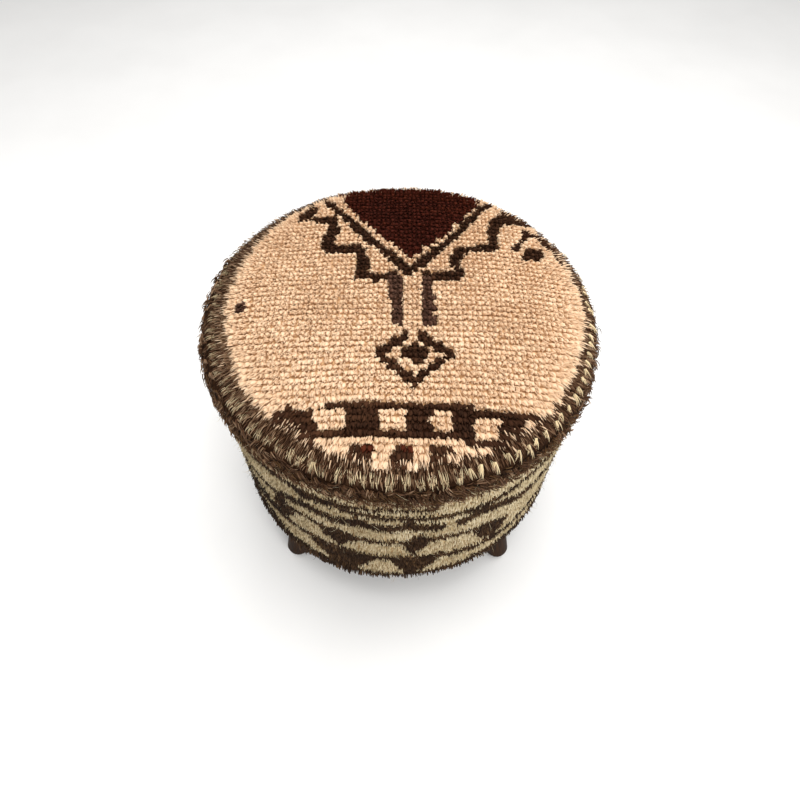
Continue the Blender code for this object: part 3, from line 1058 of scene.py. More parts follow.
@dataclass(frozen=True)
class SeatMotif:
    """Village rug motif on the seat: a medallion's point in stepped outlines, a hooked diamond, and a border.

    X runs to the right and Y to the back, from the middle of the seat. A later figure covers an earlier one.
    """

    medallion: tuple[Patch, ...] = (
        Patch(
            Wool.MAROON,
            ((9, 53), (-13, 78), (-29, 97), (-43, 116), (-62, 147), (-82, 205), (110, 205), (82, 145),
             (52, 98), (34, 76)),
        ),
        Stroke(
            Wool.BROWN,
            ((-93, 168), (-66, 127), (-34, 83), (-11, 56), (9, 33), (27, 52), (46, 75), (63, 99),
             (81, 129), (112, 176)),
            10,
        ),
    )
    hooks: tuple[Patch, ...] = (
        Stroke(
            Wool.BROWN,
            ((-100, 137), (-109, 122), (-76, 115), (-72, 96), (-78, 80), (-75, 68), (-44, 64),
             (-38, 46), (-41, 24), (-4, 24)),
            12.5,
        ),
        Patch(
            Wool.BROWN,
            ((98, 112), (104, 128), (116, 146), (124, 160), (152, 143), (147, 122), (121, 119),
             (109, 111)),
        ),
        Stroke(
            Wool.BROWN,
            ((120, 136), (111, 131), (103, 114), (99, 94), (97, 72), (61, 66), (56, 47), (60, 28),
             (26, 26)),
            11,
        ),
        Stroke(Wool.FADED, ((-4, 22), (-3, -8), (-2, -33)), 12.5),
        Stroke(Wool.FADED, ((26, 22), (27, -8), (28, -32)), 12.5),
    )
    diamond: tuple[Patch, ...] = (
        Stroke(Wool.BROWN, ((6, -52), (-20, -73), (14, -103), (47, -72), (20, -52)), 9),
        Patch(Wool.BROWN, ((-3, -72), (14, -58), (31, -72), (14, -86))),
    )
    border: tuple[Patch, ...] = (
        Patch(
            Wool.BROWN,
            ((-110, -131), (-60, -127), (-20, -124), (5, -123), (40, -125), (80, -129), (128, -134),
             (122, -172), (60, -164), (0, -160), (-112, -164)),
        ),
        block(Wool.CREAM, -73, -47, -150.5, -132),
        block(Wool.CREAM, -18, 5, -150, -131),
        block(Wool.CREAM, 28, 46, -150, -134),
        block(Wool.CREAM, 66, 87, -156, -136),
        block(Wool.CREAM, 108, 118, -150, -140),
        Patch(
            Wool.CREAM,
            ((-72, -160), (-20, -157), (5, -156), (50, -160), (94, -167), (95, -180), (50, -189),
             (5, -190), (-40, -187), (-76, -172)),
        ),
        Patch(Wool.BROWN, ((-38, -163), (-20, -163), (-22, -182), (-30, -192), (-44, -192))),
        Patch(Wool.BROWN, ((-2, -162), (15, -162), (9, -178), (7, -192), (-12, -192), (-5, -178))),
        Patch(Wool.BROWN, ((26, -165), (47, -165), (41, -180), (38, -192), (24, -192))),
        Patch(Wool.BROWN, ((63, -170), (79, -170), (84, -194), (58, -194))),
        block(Wool.RUST, -31, -20, -170, -162),
        block(Wool.RUST, 2, 13, -170, -162),
    )
    small_figure: tuple[Patch, ...] = (
        Stroke(Wool.BROWN, ((123, 77), (131, 89)), 7),
        Patch(Wool.BROWN, ((125, 57), (148, 60), (153, 81), (134, 77))),
        Stroke(Wool.BROWN, ((135, 95), (139, 109)), 7),
        Stroke(Wool.BROWN, ((141, 107), (151, 101), (161, 89), (169, 78)), 9),
        Stroke(Wool.BROWN, ((159, 93), (168, 101)), 7),
        Patch(Wool.BROWN, ((160, 82), (175, 80), (189, 58), (170, 57))),
    )
    spots: tuple[Patch, ...] = (block(Wool.FADED, -162, -153, -18, -8),)

    def wool_at(self, x: float, y: float) -> Wool:
        """Finds the yarn of the knot at a place on the seat.

        Args:
            x: Distance to the right of the middle.
            y: Distance to the back of the middle.

        Returns:
            The yarn.
        """
        figures = (
            *self.medallion,
            *self.hooks,
            *self.diamond,
            *self.border,
            *self.small_figure,
            *self.spots,
        )
        for figure in reversed(figures):
            if figure.covers(x, y):
                return figure.wool
        return Wool.CREAM


@dataclass(frozen=True)
class SideMotif:
    """Wavy lines, triangles and arrowheads round the side, drawn for one third and repeated.

    X is the angle in degrees from the front, Y the depth below the rim in millimetres.
    """

    third: float = 120.0
    per_degree: float = 3.49
    figures: tuple[Patch, ...] = (
        *(
            Stroke(Wool.UMBER, corners, width)
            for width, corners in (
                (13.0, ((-60, 34), (-45, 31), (-36, 29), (-28, 33))),
                (9.0, ((-30, 31), (-22, 30), (-12, 28), (0, 25), (10, 28))),
                (11.0, ((-28, 43), (-22, 39), (-12, 41), (0, 44), (10, 49), (20, 52), (30, 50),
                        (45, 40), (60, 34))),
                (18.0, ((-34, 73), (-28, 66), (-18, 71), (-12, 64), (-4, 70), (4, 66), (12, 74))),
                (17.0, ((19, 74), (26, 65), (33, 75), (40, 90), (60, 92))),
                (12.0, ((-60, 92), (-45, 86), (-38, 82), (-33, 74))),
                (11.0, ((-35, 99), (-28, 99), (-18, 104), (-8, 108), (2, 105), (10, 103), (18, 107),
                        (26, 112))),
                (15.0, ((-60, 156), (-45, 153), (-30, 151), (-15, 153), (0, 154), (12, 156),
                        (20, 164), (28, 170), (40, 170), (60, 156))),
            )
        ),
        *(
            Patch(Wool.UMBER, corners)
            for corners in (
                ((-15, 62), (-11, 48), (-8, 60)),
                ((0, 62), (3.5, 49), (7, 62)),
                ((-38, 84), (-33, 98), (-33, 112), (-36, 130), (-40, 146), (-45, 146), (-43, 125),
                 (-41, 100)),
                ((-18, 91), (-13, 98), (-12, 114), (-16, 128), (-18.5, 143), (-21, 130), (-25, 118),
                 (-24, 104)),
                ((7, 83), (9.5, 100), (9.5, 118), (7, 130), (5, 142), (2.5, 128), (1.5, 118), (3, 100)),
                ((26, 102), (32, 112), (36.5, 124), (37.5, 140), (32.5, 168), (29.5, 156),
                 (25.5, 138), (24, 118)),
                ((-60, 104), (-50, 110), (-43, 134), (-43, 152), (-60, 160)),
                ((-60, 160), (-50, 172), (-42, 188), (-36, 203), (-36, 300), (-60, 300)),
                ((60, 172), (52, 182), (44, 200), (44, 300), (60, 300)),
                ((-30, 154), (-26, 180), (-22, 208), (-14, 212), (-11, 190), (-8, 168), (-6, 156)),
                ((-3, 156), (-1, 178), (2, 200), (4, 212), (7, 200), (12, 180), (14, 165), (14, 154)),
                ((-60, 196), (-45, 197), (-30, 198), (-20, 201), (-10, 207), (5, 204), (18, 201),
                 (30, 197), (60, 196), (60, 300), (-60, 300)),
            )
        ),
    )

    def wool_at(self, angle: float, depth: float) -> Wool:
        """Finds the yarn of a knot on the side.

        Args:
            angle: Angle about Z, 0 at the front and growing to the right.
            depth: Depth below the rim in millimetres.

        Returns:
            The yarn.
        """
        half = self.third / 2
        turn = (math.degrees(angle) + half) % self.third - half
        for figure in self.figures:
            if figure.covers(turn, depth, self.per_degree):
                return figure.wool
        return Wool.BEIGE


# Sub-assemblies


@dataclass(frozen=True)
class Drum:
    """Sizes that the sub-assemblies share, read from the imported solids."""

    rim_radius: float
    rim_height: float
    crown: float
    field_radius: float
    hem_height: float
    carpet: float = 11 * MM
    lining_gap: float = 0.3 * MM
    seat_pile: float = 3.2 * MM
    seat_root: float = 1.6 * MM
    edge_pile: float = 2.6 * MM
    side_pile: float = 2.4 * MM
    ridge: float = 24 * MM
    draw_in: float = 4 * MM
    flatness: float = 2.6
    shoulder: float = 0.55
    sides: int = 144

    @classmethod
    def from_frame(cls) -> Drum:
        """Reads the sizes from the boxes of the solids.

        Returns:
            The sizes.
        """
        seat_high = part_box("seat_carpet")[1]
        side_low, side_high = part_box("side_carpet")
        rim_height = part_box("rim_stitching")[0].z / 2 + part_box("rim_stitching")[1].z / 2
        return cls(side_high.x, rim_height, seat_high.z - rim_height, seat_high.x, side_low.z)

    def crown_at(self, radius: float, depth: float) -> float:
        """Height of the crowned seat at a radius, at a depth under its surface."""
        share = min(radius / (self.rim_radius - depth), 1.0)
        return self.rim_height + (self.crown - depth) * (1 - share**self.flatness) ** self.shoulder

    def crown_curve(self, inner: float, outer: float, depth: float, steps: int) -> list[tuple[float, float]]:
        """Follows the crown outwards, in steps that get shorter towards the rim.

        Args:
            inner: Radius to start from.
            outer: Radius to end at.
            depth: Depth under the seat's surface.
            steps: Number of steps.

        Returns:
            Radius and height of each point.
        """
        points = []
        for step in range(steps + 1):
            radius = inner + (outer - inner) * math.sin(math.pi / 2 * step / steps)
            points.append((radius, self.crown_at(radius, depth)))
        return points

    def side_radius(self, height: float) -> float:
        """Works out the radius of the side's surface, which is drawn in below the ridge.

        Args:
            height: Height above the floor.

        Returns:
            The radius.
        """
        foot = self.rim_height - self.ridge
        share = clamp((foot - height) / (foot - self.hem_height))
        if share == 0.0:
            return self.rim_radius
        hollow = 0.5 * math.cos(math.pi / 2 * share) + 0.5 * math.sin(math.pi * share) ** 2
        return self.rim_radius - self.draw_in * hollow


class Ground:
    """The woven ground of a carpet: a closed piece, and the surface that knots are tied to."""

    BROAD: ClassVar[Wave] = Wave(1.6 * MM, 90 * MM, 3.1)
    CLOSE: ClassVar[Wave] = Wave(0.6 * MM, 35 * MM, 8.3)
    LIMIT: ClassVar[float] = 1.0 * MM

    def __init__(self, piece: bpy.types.Object) -> None:
        """Makes the ground slightly uneven, as hand work is, and readies it for knots.

        Args:
            piece: The ground's closed mesh.
        """
        self.piece = piece
        mesh = piece.data
        for vert in mesh.vertices:
            swell = self.BROAD.at(vert.co) + self.CLOSE.at(vert.co)
            away = Vector((vert.co.x, vert.co.y, 0.0)).normalized() + UP
            vert.co += away.normalized() * clamp(swell, -self.LIMIT, self.LIMIT)
        corners = [vert.co.copy() for vert in mesh.vertices]
        self.tree = BVHTree.FromPolygons(corners, [tuple(face.vertices) for face in mesh.polygons])

    def dye(self, wool_at: Callable[[Vector], Wool]) -> None:
        """Keeps the yarn that stands on each point, for the finish to read."""
        layer = self.piece.data.attributes.new(YARN, "FLOAT", "POINT")
        layer.data.foreach_set("value", [wool_at(vert.co).tone(0.5) for vert in self.piece.data.vertices])

    def meet(self, start: Vector, aim: Vector) -> Place | None:
        """Pushes a needle into the ground.

        Args:
            start: Where the needle starts.
            aim: The way that it points.

        Returns:
            Where it meets the ground and the way out of the ground, or None if it misses.
        """
        spot, normal, _, _ = self.tree.ray_cast(start, aim.normalized())
        if spot is None:
            return None
        return spot, normal if normal.dot(aim) < 0 else -normal


def along(normal: Vector, wish: Vector) -> Vector:
    """The part of a wished direction that lies in the surface."""
    return wish - normal * wish.dot(normal)


def shake(dice: random.Random, sideways: float, upwards: float = 0.0) -> Vector:
    """A small random direction."""
    return Vector([dice.uniform(-1, 1) * reach for reach in (sideways, sideways, upwards)])


@dataclass
class SeatCarpet:
    """The round carpet on top: its ground, and the field of knots with the motif."""

    drum: Drum
    motif: SeatMotif = field(default_factory=SeatMotif)
    top_steps: int = 60
    lining_steps: int = 24
    knot_width: float = 4.8 * MM
    row_pitch: float = 6.5 * MM
    row_wave: Wave = Wave(1.4 * MM, 70 * MM, 1.0)
    looseness: float = 0.75 * MM
    field_middle: tuple[float, float] = (5.5 * MM, 5 * MM)
    field_reach: float = 186 * MM
    side_inset: float = 8 * MM
    wander: Wave = Wave(3.0 * MM, 0.3, 5.0)
    close_wander: Wave = Wave(1.2 * MM, 0.08, 6.0)
    bare_edge: float = 4 * MM
    nap_lean: float = 0.48
    nap_wave: Wave = Wave(0.10, 30 * MM, 2.0)
    stray_lean: float = 0.10
    least_rise: float = 0.05
    combed: float = 30 * MM
    comb_share: float = 0.33
    front_comb: float = 0.55
    comb_lean: float = 0.72
    comb_growth: float = 0.35
    abrash: float = 0.12
    cloud: Wave = Wave(0.25, 45 * MM, 9.0)
    heads: Pile = Pile(1, 2.5 * MM, 6.6 * MM, 0.0, 0.0, 0.6, 0.12, 0.06, 0.0, 6, 5)
    plies: Pile = Pile(8, 0.95 * MM, 7.3 * MM, 2.4 * MM, 0.06, 0.6, 0.2, 0.09, 0.014, 4, 4)

    def lay(self) -> Ground:
        """Makes and dresses the woven ground.

        Returns:
            The ground.
        """
        drum = self.drum
        top = drum.crown_curve(0.0, drum.field_radius, drum.seat_pile, self.top_steps)
        lining = drum.crown_curve(0.0, drum.field_radius, drum.carpet - drum.lining_gap, self.lining_steps)
        ground = Ground(turned("seat_ground", top + lining[::-1], drum.sides, False, CarpetGround()))
        ground.dye(lambda spot: self.motif.wool_at(spot.x / MM, spot.y / MM))
        mount(ground.piece, "drum", "cream_wool", "seat_carpet")
        return ground

    def dress(self, grounds: Sequence[Ground]) -> None:
        """Ties the pile: a thick head for each knot, and finer plies over it.

        Args:
            grounds: The grounds of the seat and of the edge strip.
        """
        for step, (side, chart) in enumerate(self.knots(grounds).items()):
            heads = self.heads.weave(f"seat_knots_{side}", chart, WoolPile(), 11 + step)
            mount(heads, "drum", "cream_wool")
            longer = chart.stretched(self.plies.reach / self.heads.reach)
            plies = self.plies.weave(f"seat_plies_{side}", longer, WoolPile(), 21 + step)
            mount(plies, "drum", "cream_wool")

    def edge_radius(self, angle: float) -> float:
        """Works out where the field of knots ends.

        Args:
            angle: Angle about Z from +X.

        Returns:
            The radius about the drum's axis.
        """
        way = polar(1.0, angle, 0.0)
        shift = self.field_middle[0] * way.x + self.field_middle[1] * way.y
        wander = self.wander.at(way) + self.close_wander.at(way)
        return self.field_reach + shift + wander - self.side_inset * way.x**2

    def knots(self, grounds: Sequence[Ground]) -> dict[str, KnotChart]:
        """Ties the field's knots, row by row, combed outwards at the brim.

        Args:
            grounds: The grounds of the seat and of the edge strip.

        Returns:
            The charts of the four quarters.
        """
        dice = random.Random(7)
        charts = {name: KnotChart() for name in ("front_left", "front_right", "back_left", "back_right")}
        drum = self.drum
        rows = int(drum.rim_radius / self.row_pitch) + 1
        columns = int(drum.rim_radius / self.knot_width) + 1
        for row in range(-rows, rows + 1):
            abrash = dice.uniform(-self.abrash, self.abrash)
            for column in range(-columns, columns + 1):
                flat = Vector((column * self.knot_width, row * self.row_pitch, 0.0))
                flat.y += self.row_wave.at(flat)
                flat += shake(dice, self.looseness)
                luck = dice.random()
                bend = shake(dice, self.stray_lean)
                margin = self.edge_radius(math.atan2(flat.y, flat.x)) - flat.length
                inner = flat.length < drum.field_radius
                ground = grounds[0 if inner else 1]
                met = ground.meet(flat + UP, -UP) if margin > self.bare_edge else None
                if not met:
                    continue
                spot, normal = met
                depth = drum.seat_root + (0.0 if inner else drum.seat_pile - drum.edge_pile)
                spot = spot - normal * depth
                ahead = self.comb_share - self.front_comb * flat.y / drum.rim_radius
                brim = (1 - ease(0.0, self.combed, margin)) * max(self.comb_share, ahead)
                nap = self.nap_lean + self.nap_wave.at(flat)
                lean = FRONT * nap * (1 - brim) + flat.normalized() * self.comb_lean * brim + bend
                lie = along(normal, lean)
                upright = math.sqrt(max(self.least_rise, 1 - lie.length_squared))
                rise = (normal * upright + lie).normalized()
                reach = self.heads.reach * (0.92 + 0.16 * luck + self.comb_growth * brim)
                tip = spot + rise * reach
                wool = self.motif.wool_at(tip.x / MM, tip.y / MM)
                tone = wool.tone(0.5 + abrash + self.cloud.at(flat) + 0.3 * (luck - 0.5))
                quarter = f"{'front' if flat.y < 0 else 'back'}_{'left' if flat.x < 0 else 'right'}"
                charts[quarter].tie(spot, rise, lie, reach, tone)
        return charts


@dataclass
class EdgeStrip:
    """The dark strip that rolls over the edge of the seat: fine strands combed out over the field's edge.

    Pitches are in degrees above level, about the hub of the roll.
    """

    drum: Drum
    seat: SeatCarpet
    steps: int = 12
    hub: float = 160 * MM
    hub_drop: float = 14 * MM
    needle_length: float = 0.2
    seam_front: float = 29.0
    seam_right: float = 4.0
    seam_left: float = 15.0
    seam_back: float = 14.0
    strand_pitch: float = 1.65 * MM
    rings: int = 12
    top_pitch: float = 88.0
    ring_pitch: float = 5.1
    seam_overlap: float = 2.0
    tooth_reach: float = 10 * MM
    notch_reach: float = 5 * MM
    cream_reach: float = 4 * MM
    stray_reach: float = 6 * MM
    cloud: Wave = Wave(0.2, 9 * MM, 14.0)
    strands: Pile = Pile(1, 0.52 * MM, 6 * MM, 0.0, 0.0, 0.7, 0.2, 0.2, 0.0)

    def lay(self) -> Ground:
        """Makes and dresses the rolled ground.

        Returns:
            The ground.
        """
        drum = self.drum
        outer = drum.rim_radius - drum.edge_pile
        crest = drum.crown_curve(drum.field_radius, outer, drum.edge_pile, self.steps)
        inner = drum.rim_radius - drum.carpet + drum.lining_gap
        lining = drum.crown_curve(drum.field_radius, inner, drum.carpet - drum.lining_gap, self.steps)
        ground = Ground(turned("edge_ground", crest + lining[::-1], drum.sides, True, CarpetGround()))
        # painted shade: the ground under the walnut strands is dyed the darker umber, so the gaps between the
        # strands look shaded
        ground.dye(lambda spot: Wool.UMBER)
        mount(ground.piece, "drum", "brown_wool", "edge_strip")
        return ground

    def dress(self, grounds: Sequence[Ground]) -> None:
        """Lays the strands over the grounds of the seat and of this strip."""
        pile = self.strands.weave("edge_pile", self.comb(grounds), WoolPile(), 31)
        mount(pile, "drum", "brown_wool")

    def needle(self, angle: float, pitch: float) -> tuple[Vector, Vector]:
        """Points a needle into the rolled edge.

        Args:
            angle: Angle about Z from +X.
            pitch: Angle above level, in radians.

        Returns:
            The needle's start and aim.
        """
        hub = polar(self.hub, angle, self.drum.rim_height - self.hub_drop)
        out = polar(math.cos(pitch), angle, 0.0) + UP * math.sin(pitch)
        return hub + out * self.needle_length, -out

    def seam_pitch(self, angle: float) -> float:
        """Works out how high the stitched seam lies: most at the left, over the fuller ridge, least behind.

        Args:
            angle: Angle about Z from +X.

        Returns:
            The angle above level, in radians.
        """
        right = math.cos(angle)
        flank = (self.seam_right if right > 0 else self.seam_left) * right**2
        return math.radians(self.seam_front + flank - self.seam_back * clamp(math.sin(angle)))

    def comb(self, grounds: Sequence[Ground]) -> KnotChart:
        """Lays fine dark strands down the roll, with cream teeth between them where the field ends.

        Args:
            grounds: The grounds of the seat and of this strip.

        Returns:
            The strands as a chart.
        """
        dice = random.Random(19)
        chart = KnotChart()
        drum = self.drum
        count = int(FULL_TURN * drum.rim_radius / self.strand_pitch)
        for step in range(count):
            angle = FULL_TURN * (step + dice.uniform(-0.25, 0.25)) / count
            edge = self.seat.edge_radius(angle) + dice.uniform(-2.5, 2.5) * MM
            tooth = step % 2 == 0
            front = 0.5 - 0.5 * math.sin(angle)
            for ring in range(self.rings):
                pitch = math.radians(self.top_pitch - self.ring_pitch * ring + dice.uniform(-2, 2))
                luck = dice.random()
                if pitch < self.seam_pitch(angle) - math.radians(self.seam_overlap):
                    continue
                needle = self.needle(angle, pitch)
                met = grounds[1].meet(*needle) or grounds[0].meet(*needle)
                if not met:
                    continue
                spot, normal = met
                radius = math.hypot(spot.x, spot.y)
                gap = radius - edge
                if gap < -(self.tooth_reach if tooth else self.notch_reach):
                    continue
                if tooth:
                    cream = gap < -self.cream_reach
                else:
                    cream = gap < self.stray_reach and dice.random() < 0.02 + 0.07 * front
                lie = along(normal, polar(1.0, angle, 0.0) - UP * 0.6 + shake(dice, 0.08)).normalized()
                step_up = drum.seat_pile - drum.edge_pile if radius < drum.field_radius else 0.0
                lift = step_up + (0.2 + 1.2 * luck) * MM
                if cream:
                    tone = Wool.CREAM.tone(0.35 + 0.5 * luck)
                else:
                    # painted light: the strands are toned lighter towards the left of the rim, where it is
                    # lit
                    left = clamp(-math.cos(angle))
                    tone = Wool.WALNUT.tone(0.07 + 0.16 * left + self.cloud.at(spot) + 0.7 * luck**2)
                reach = self.strands.reach * (0.85 + 0.3 * luck) * (1.3 if cream else 1.0)
                chart.tie(spot + normal * lift, (lie + normal * 0.5).normalized(), -normal, reach, tone)
        return chart


@dataclass
class SideCarpet:
    """The carpet band round the drum: a fuller ridge under the rim, and hanging pile with rows of triangles.

    Angles are counted from the front and grow to the right.
    """

    QUARTERS: ClassVar[tuple[str, ...]] = (
        "side_pile_front",
        "side_pile_right",
        "side_pile_back",
        "side_pile_left",
    )

    drum: Drum
    edge: EdgeStrip
    motif: SideMotif = field(default_factory=SideMotif)
    steps: int = 64
    sides: int = 216
    board_gap: float = 0.5 * MM
    pitch: float = 3.7 * MM
    row: float = 3.4 * MM
    row_wave: Wave = Wave(1.2 * MM, 50 * MM, 4.0)
    tuck: float = 4 * MM
    lowest: float = 5.2 * MM
    drawn_from: float = 0.763
    drawn_away: float = 0.2
    sunk: float = 13.0
    cloud: Wave = Wave(0.25, 40 * MM, 12.0)
    fleck: Wave = Wave(0.3, 16 * MM, 15.0)
    flare_turn: float = 150.0
    flare_width: float = 24.0
    flare_height: float = 24 * MM
    ridge_pitch: float = 5.0 * MM
    ridge_rows: int = 6
    seam_gap: float = 6.0
    swirl: Wave = Wave(2.2, 9 * MM, 17.0)
    ridge_cloud: Wave = Wave(0.22, 8 * MM, 18.0)
    fibres: int = 1500
    pile: Pile = Pile(3, 0.66 * MM, 5.2 * MM, 1.7 * MM, 0.06, 0.5, 0.12, 0.12, 0.014, 3, 3)
    ridge: Pile = Pile(7, 0.5 * MM, 7 * MM, 2.4 * MM, 0.2, 0.8, 0.3, 0.35, 0.05)
    stray: Pile = Pile(1, 0.14 * MM, 10 * MM, 1.0 * MM, 0.10, 1.2, 0.6, 0.4, 0.0, 3, 3)

    def build(self, edge_ground: Ground) -> None:
        """Makes the ground, and dresses it with the pile, the ridge and the stray fibres.

        Args:
            edge_ground: The ground of the edge strip, whose foot the ridge covers.
        """
        ground = self.lay()
        for step, (name, chart) in enumerate(self.knots(ground).items()):
            mount(self.pile.weave(name, chart, WoolPile(), 51 + step), "drum", "side_wool")
        for step, (name, chart) in enumerate(self.ridge_knots(ground, edge_ground).items()):
            mount(self.ridge.weave(name, chart, WoolPile(), 71 + step), "drum", "brown_wool")
        fibres = self.stray.weave("stray_fibres", self.stray_fibres(ground), WoolPile(), 91)
        mount(fibres, "drum", "side_wool")

    def lay(self) -> Ground:
        """Makes and dresses the woven ground, with the hem folded in under the drum wall.

        Returns:
            The ground.
        """
        drum = self.drum
        inner = drum.rim_radius - drum.carpet + drum.lining_gap
        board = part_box("base_board")[1].x + self.board_gap
        top = drum.rim_height - 0.6 * MM
        hem = drum.hem_height + 1.5 * MM
        fold = drum.hem_height + drum.carpet - 1 * MM
        outside = [(drum.rim_radius - drum.side_pile - 2.5 * MM, top)]
        for step in range(self.steps + 1):
            drop = (drum.rim_height - drum.hem_height - 8 * MM) * step / self.steps
            height = drum.rim_height - 3 * MM - drop
            outside.append((drum.side_radius(height) - drum.side_pile, height))
        outside.append((drum.rim_radius - drum.side_pile - 4 * MM, hem))
        lip = [(board, hem), (board, fold), (inner, fold), (inner, top)]
        ground = Ground(turned("side_ground", outside + lip, self.sides, True, CarpetGround()))
        shown = (drum.hem_height + 4 * MM, drum.rim_height - drum.ridge)
        ground.dye(lambda spot: self.wool_at(spot) if shown[0] < spot.z < shown[1] else Wool.UMBER)
        mount(ground.piece, "drum", "side_wool", "side_carpet")
        return ground

    def meet(self, ground: Ground, angle: float, height: float) -> Place | None:
        """Where a level needle meets the side, at an angle from the front and a height."""
        aim = Vector((math.sin(angle), -math.cos(angle), 0.0))
        return ground.meet(aim * 0.5 + UP * height, -aim)

    def wool_at(self, spot: Vector) -> Wool:
        """Finds the yarn at a place on the side.

        The motif was drawn from above, where the drawn-in part of the side looks lower than it is.

        Args:
            spot: The place.

        Returns:
            The yarn.
        """
        slope = (self.drawn_from - spot.z) / self.drawn_away
        inset = self.drum.rim_radius - math.hypot(spot.x, spot.y)
        depth = self.drum.rim_height - spot.z - slope * inset
        return self.motif.wool_at(math.atan2(spot.x, -spot.y), depth / MM - self.sunk)

    def flare(self, angle: float, level: float) -> float:
        """Works out how loosely the pile hangs: most at the hem, to the left of the front.

        Args:
            angle: Angle from the front.
            level: Height above the floor.

        Returns:
            The looseness, from 0 to 1.
        """
        turn = (math.degrees(angle) + 180) % 360 - self.flare_turn
        aside = math.exp(-((turn / self.flare_width) ** 2))
        return aside * (1 - ease(0.0, self.flare_height, level - self.drum.hem_height))

    def knots(self, ground: Ground) -> dict[str, KnotChart]:
        """Ties the hanging pile.

        Args:
            ground: The woven ground.

        Returns:
            One chart for each quarter of the side.
        """
        dice = random.Random(43)
        charts = {name: KnotChart() for name in self.QUARTERS}
        drum = self.drum
        count = int(FULL_TURN * drum.rim_radius / self.pitch)
        top = drum.rim_height - drum.ridge + self.tuck
        for row in range(int((top - drum.hem_height) / self.row)):
            for step in range(count):
                angle = FULL_TURN * (step + 0.5 * (row % 2) + dice.uniform(-0.2, 0.2)) / count
                way = polar(drum.rim_radius, angle, top - row * self.row)
                level = way.z + self.row_wave.at(way) + dice.uniform(-0.4, 0.4) * MM
                met = self.meet(ground, angle, max(level, drum.hem_height + self.lowest))
                luck = dice.random()
                sway = shake(dice, 0.12)
                if not met:
                    continue
                spot, normal = met
                lie = along(normal, sway - UP)
                flare = self.flare(angle, level)
                rise = (normal * 0.5 + lie * (0.9 + 0.5 * flare)).normalized()
                reach = self.pile.reach * (0.85 + 0.3 * luck) * (1 + 2.2 * flare)
                wool = self.wool_at(spot + rise * reach)
                cloud = self.cloud.at(way) + self.fleck.at(way)
                # painted shade: the left and right flanks of the side are toned darker, by the square of the
                # sine of the angle from the front
                flank = 0.3 * math.sin(angle) ** 2
                tone = wool.tone(0.48 + 0.4 * (luck - 0.5) + cloud - flank)
                quarter = self.QUARTERS[int(((angle + math.pi / 4) % FULL_TURN) / (math.pi / 2))]
                charts[quarter].tie(spot, rise, lie, reach, tone)
        return charts

    def ridge_knots(self, ground: Ground, edge_ground: Ground) -> dict[str, KnotChart]:
        """Lays the longer wool of the ridge sideways round the drum, like a loose roll under the stitches.

        Args:
            ground: The ground of the side.
            edge_ground: The ground of the edge strip, whose foot the roll covers.

        Returns:
            The charts of the ridge's upper and lower half.
        """
        dice = random.Random(61)
        charts = {"ridge_pile_upper": KnotChart(), "ridge_pile_lower": KnotChart()}
        drum = self.drum
        count = int(FULL_TURN * drum.rim_radius / self.ridge_pitch)
        for row in range(-self.ridge_rows, self.ridge_rows + 1):
            for step in range(count):
                angle = FULL_TURN * (step + 0.5 * (row % 2) + dice.uniform(-0.3, 0.3)) / count
                if row < 0:
                    pitch = math.radians(3 - 8 * (row + 1) + dice.uniform(-2, 2))
                    about = angle - math.pi / 2
                    low = pitch < self.edge.seam_pitch(about) - math.radians(self.seam_gap)
                    met = edge_ground.meet(*self.edge.needle(about, pitch)) if low else None
                else:
                    drop = (2.5 + 4.2 * row + dice.uniform(-1, 1)) * MM
                    met = self.meet(ground, angle, drum.rim_height - drop)
                luck = dice.random()
                sway = shake(dice, 0.2, 0.5)
                if not met:
                    continue
                spot, normal = met
                turn = (math.degrees(angle) + 180) % 360 - 180
                full = 0.25 + 0.75 * (1 - ease(52, 88, turn)) * ease(-150, -110, turn)
                left = clamp(-math.sin(angle))
                sideways = Vector((math.cos(angle), math.sin(angle), 0.0))
                swirl = 0.9 + self.swirl.at(spot)
                lie = along(normal, sideways * math.cos(swirl) - UP * math.sin(swirl) + sway).normalized()
                # painted light: the ridge is toned lighter towards the left, where the rim is lit
                tone = Wool.WALNUT.tone(0.14 * left + 0.62 * luck**3 + self.ridge_cloud.at(spot))
                reach = self.ridge.reach * (0.7 + 0.5 * luck) * (0.6 + 0.4 * full)
                proud = (0.35 if row < 0 else 0.55) * (0.25 + 0.75 * full) * (1 - 0.4 * left)
                lift = (0.3 + 4.2 * proud * luck) * MM
                half = charts["ridge_pile_upper" if row < 1 else "ridge_pile_lower"]
                half.tie(spot + normal * lift, (lie + normal * proud).normalized(), -normal, reach, tone)
        return charts

    def stray_fibres(self, ground: Ground) -> KnotChart:
        """Pulls single fibres off the side, which soften its outline.

        Args:
            ground: The woven ground.

        Returns:
            The fibres as a chart.
        """
        dice = random.Random(83)
        chart = KnotChart()
        drum = self.drum
        for _ in range(self.fibres):
            angle = dice.uniform(0, FULL_TURN)
            height = drum.hem_height + 6 * MM + dice.random() * (drum.rim_height - drum.hem_height - 8 * MM)
            met = self.meet(ground, angle, height)
            sway = Vector((dice.uniform(-1, 1), dice.uniform(-1, 1), dice.uniform(-1, 0.4)))
            luck = dice.random()
            if not met:
                continue
            spot, normal = met
            lie = along(normal, sway) + WELD * UP
            tone = self.wool_at(spot).tone(0.4 + 0.5 * luck)
            chart.tie(spot, (normal + lie * 0.5).normalized(), lie, self.stray.reach, tone)
        return chart


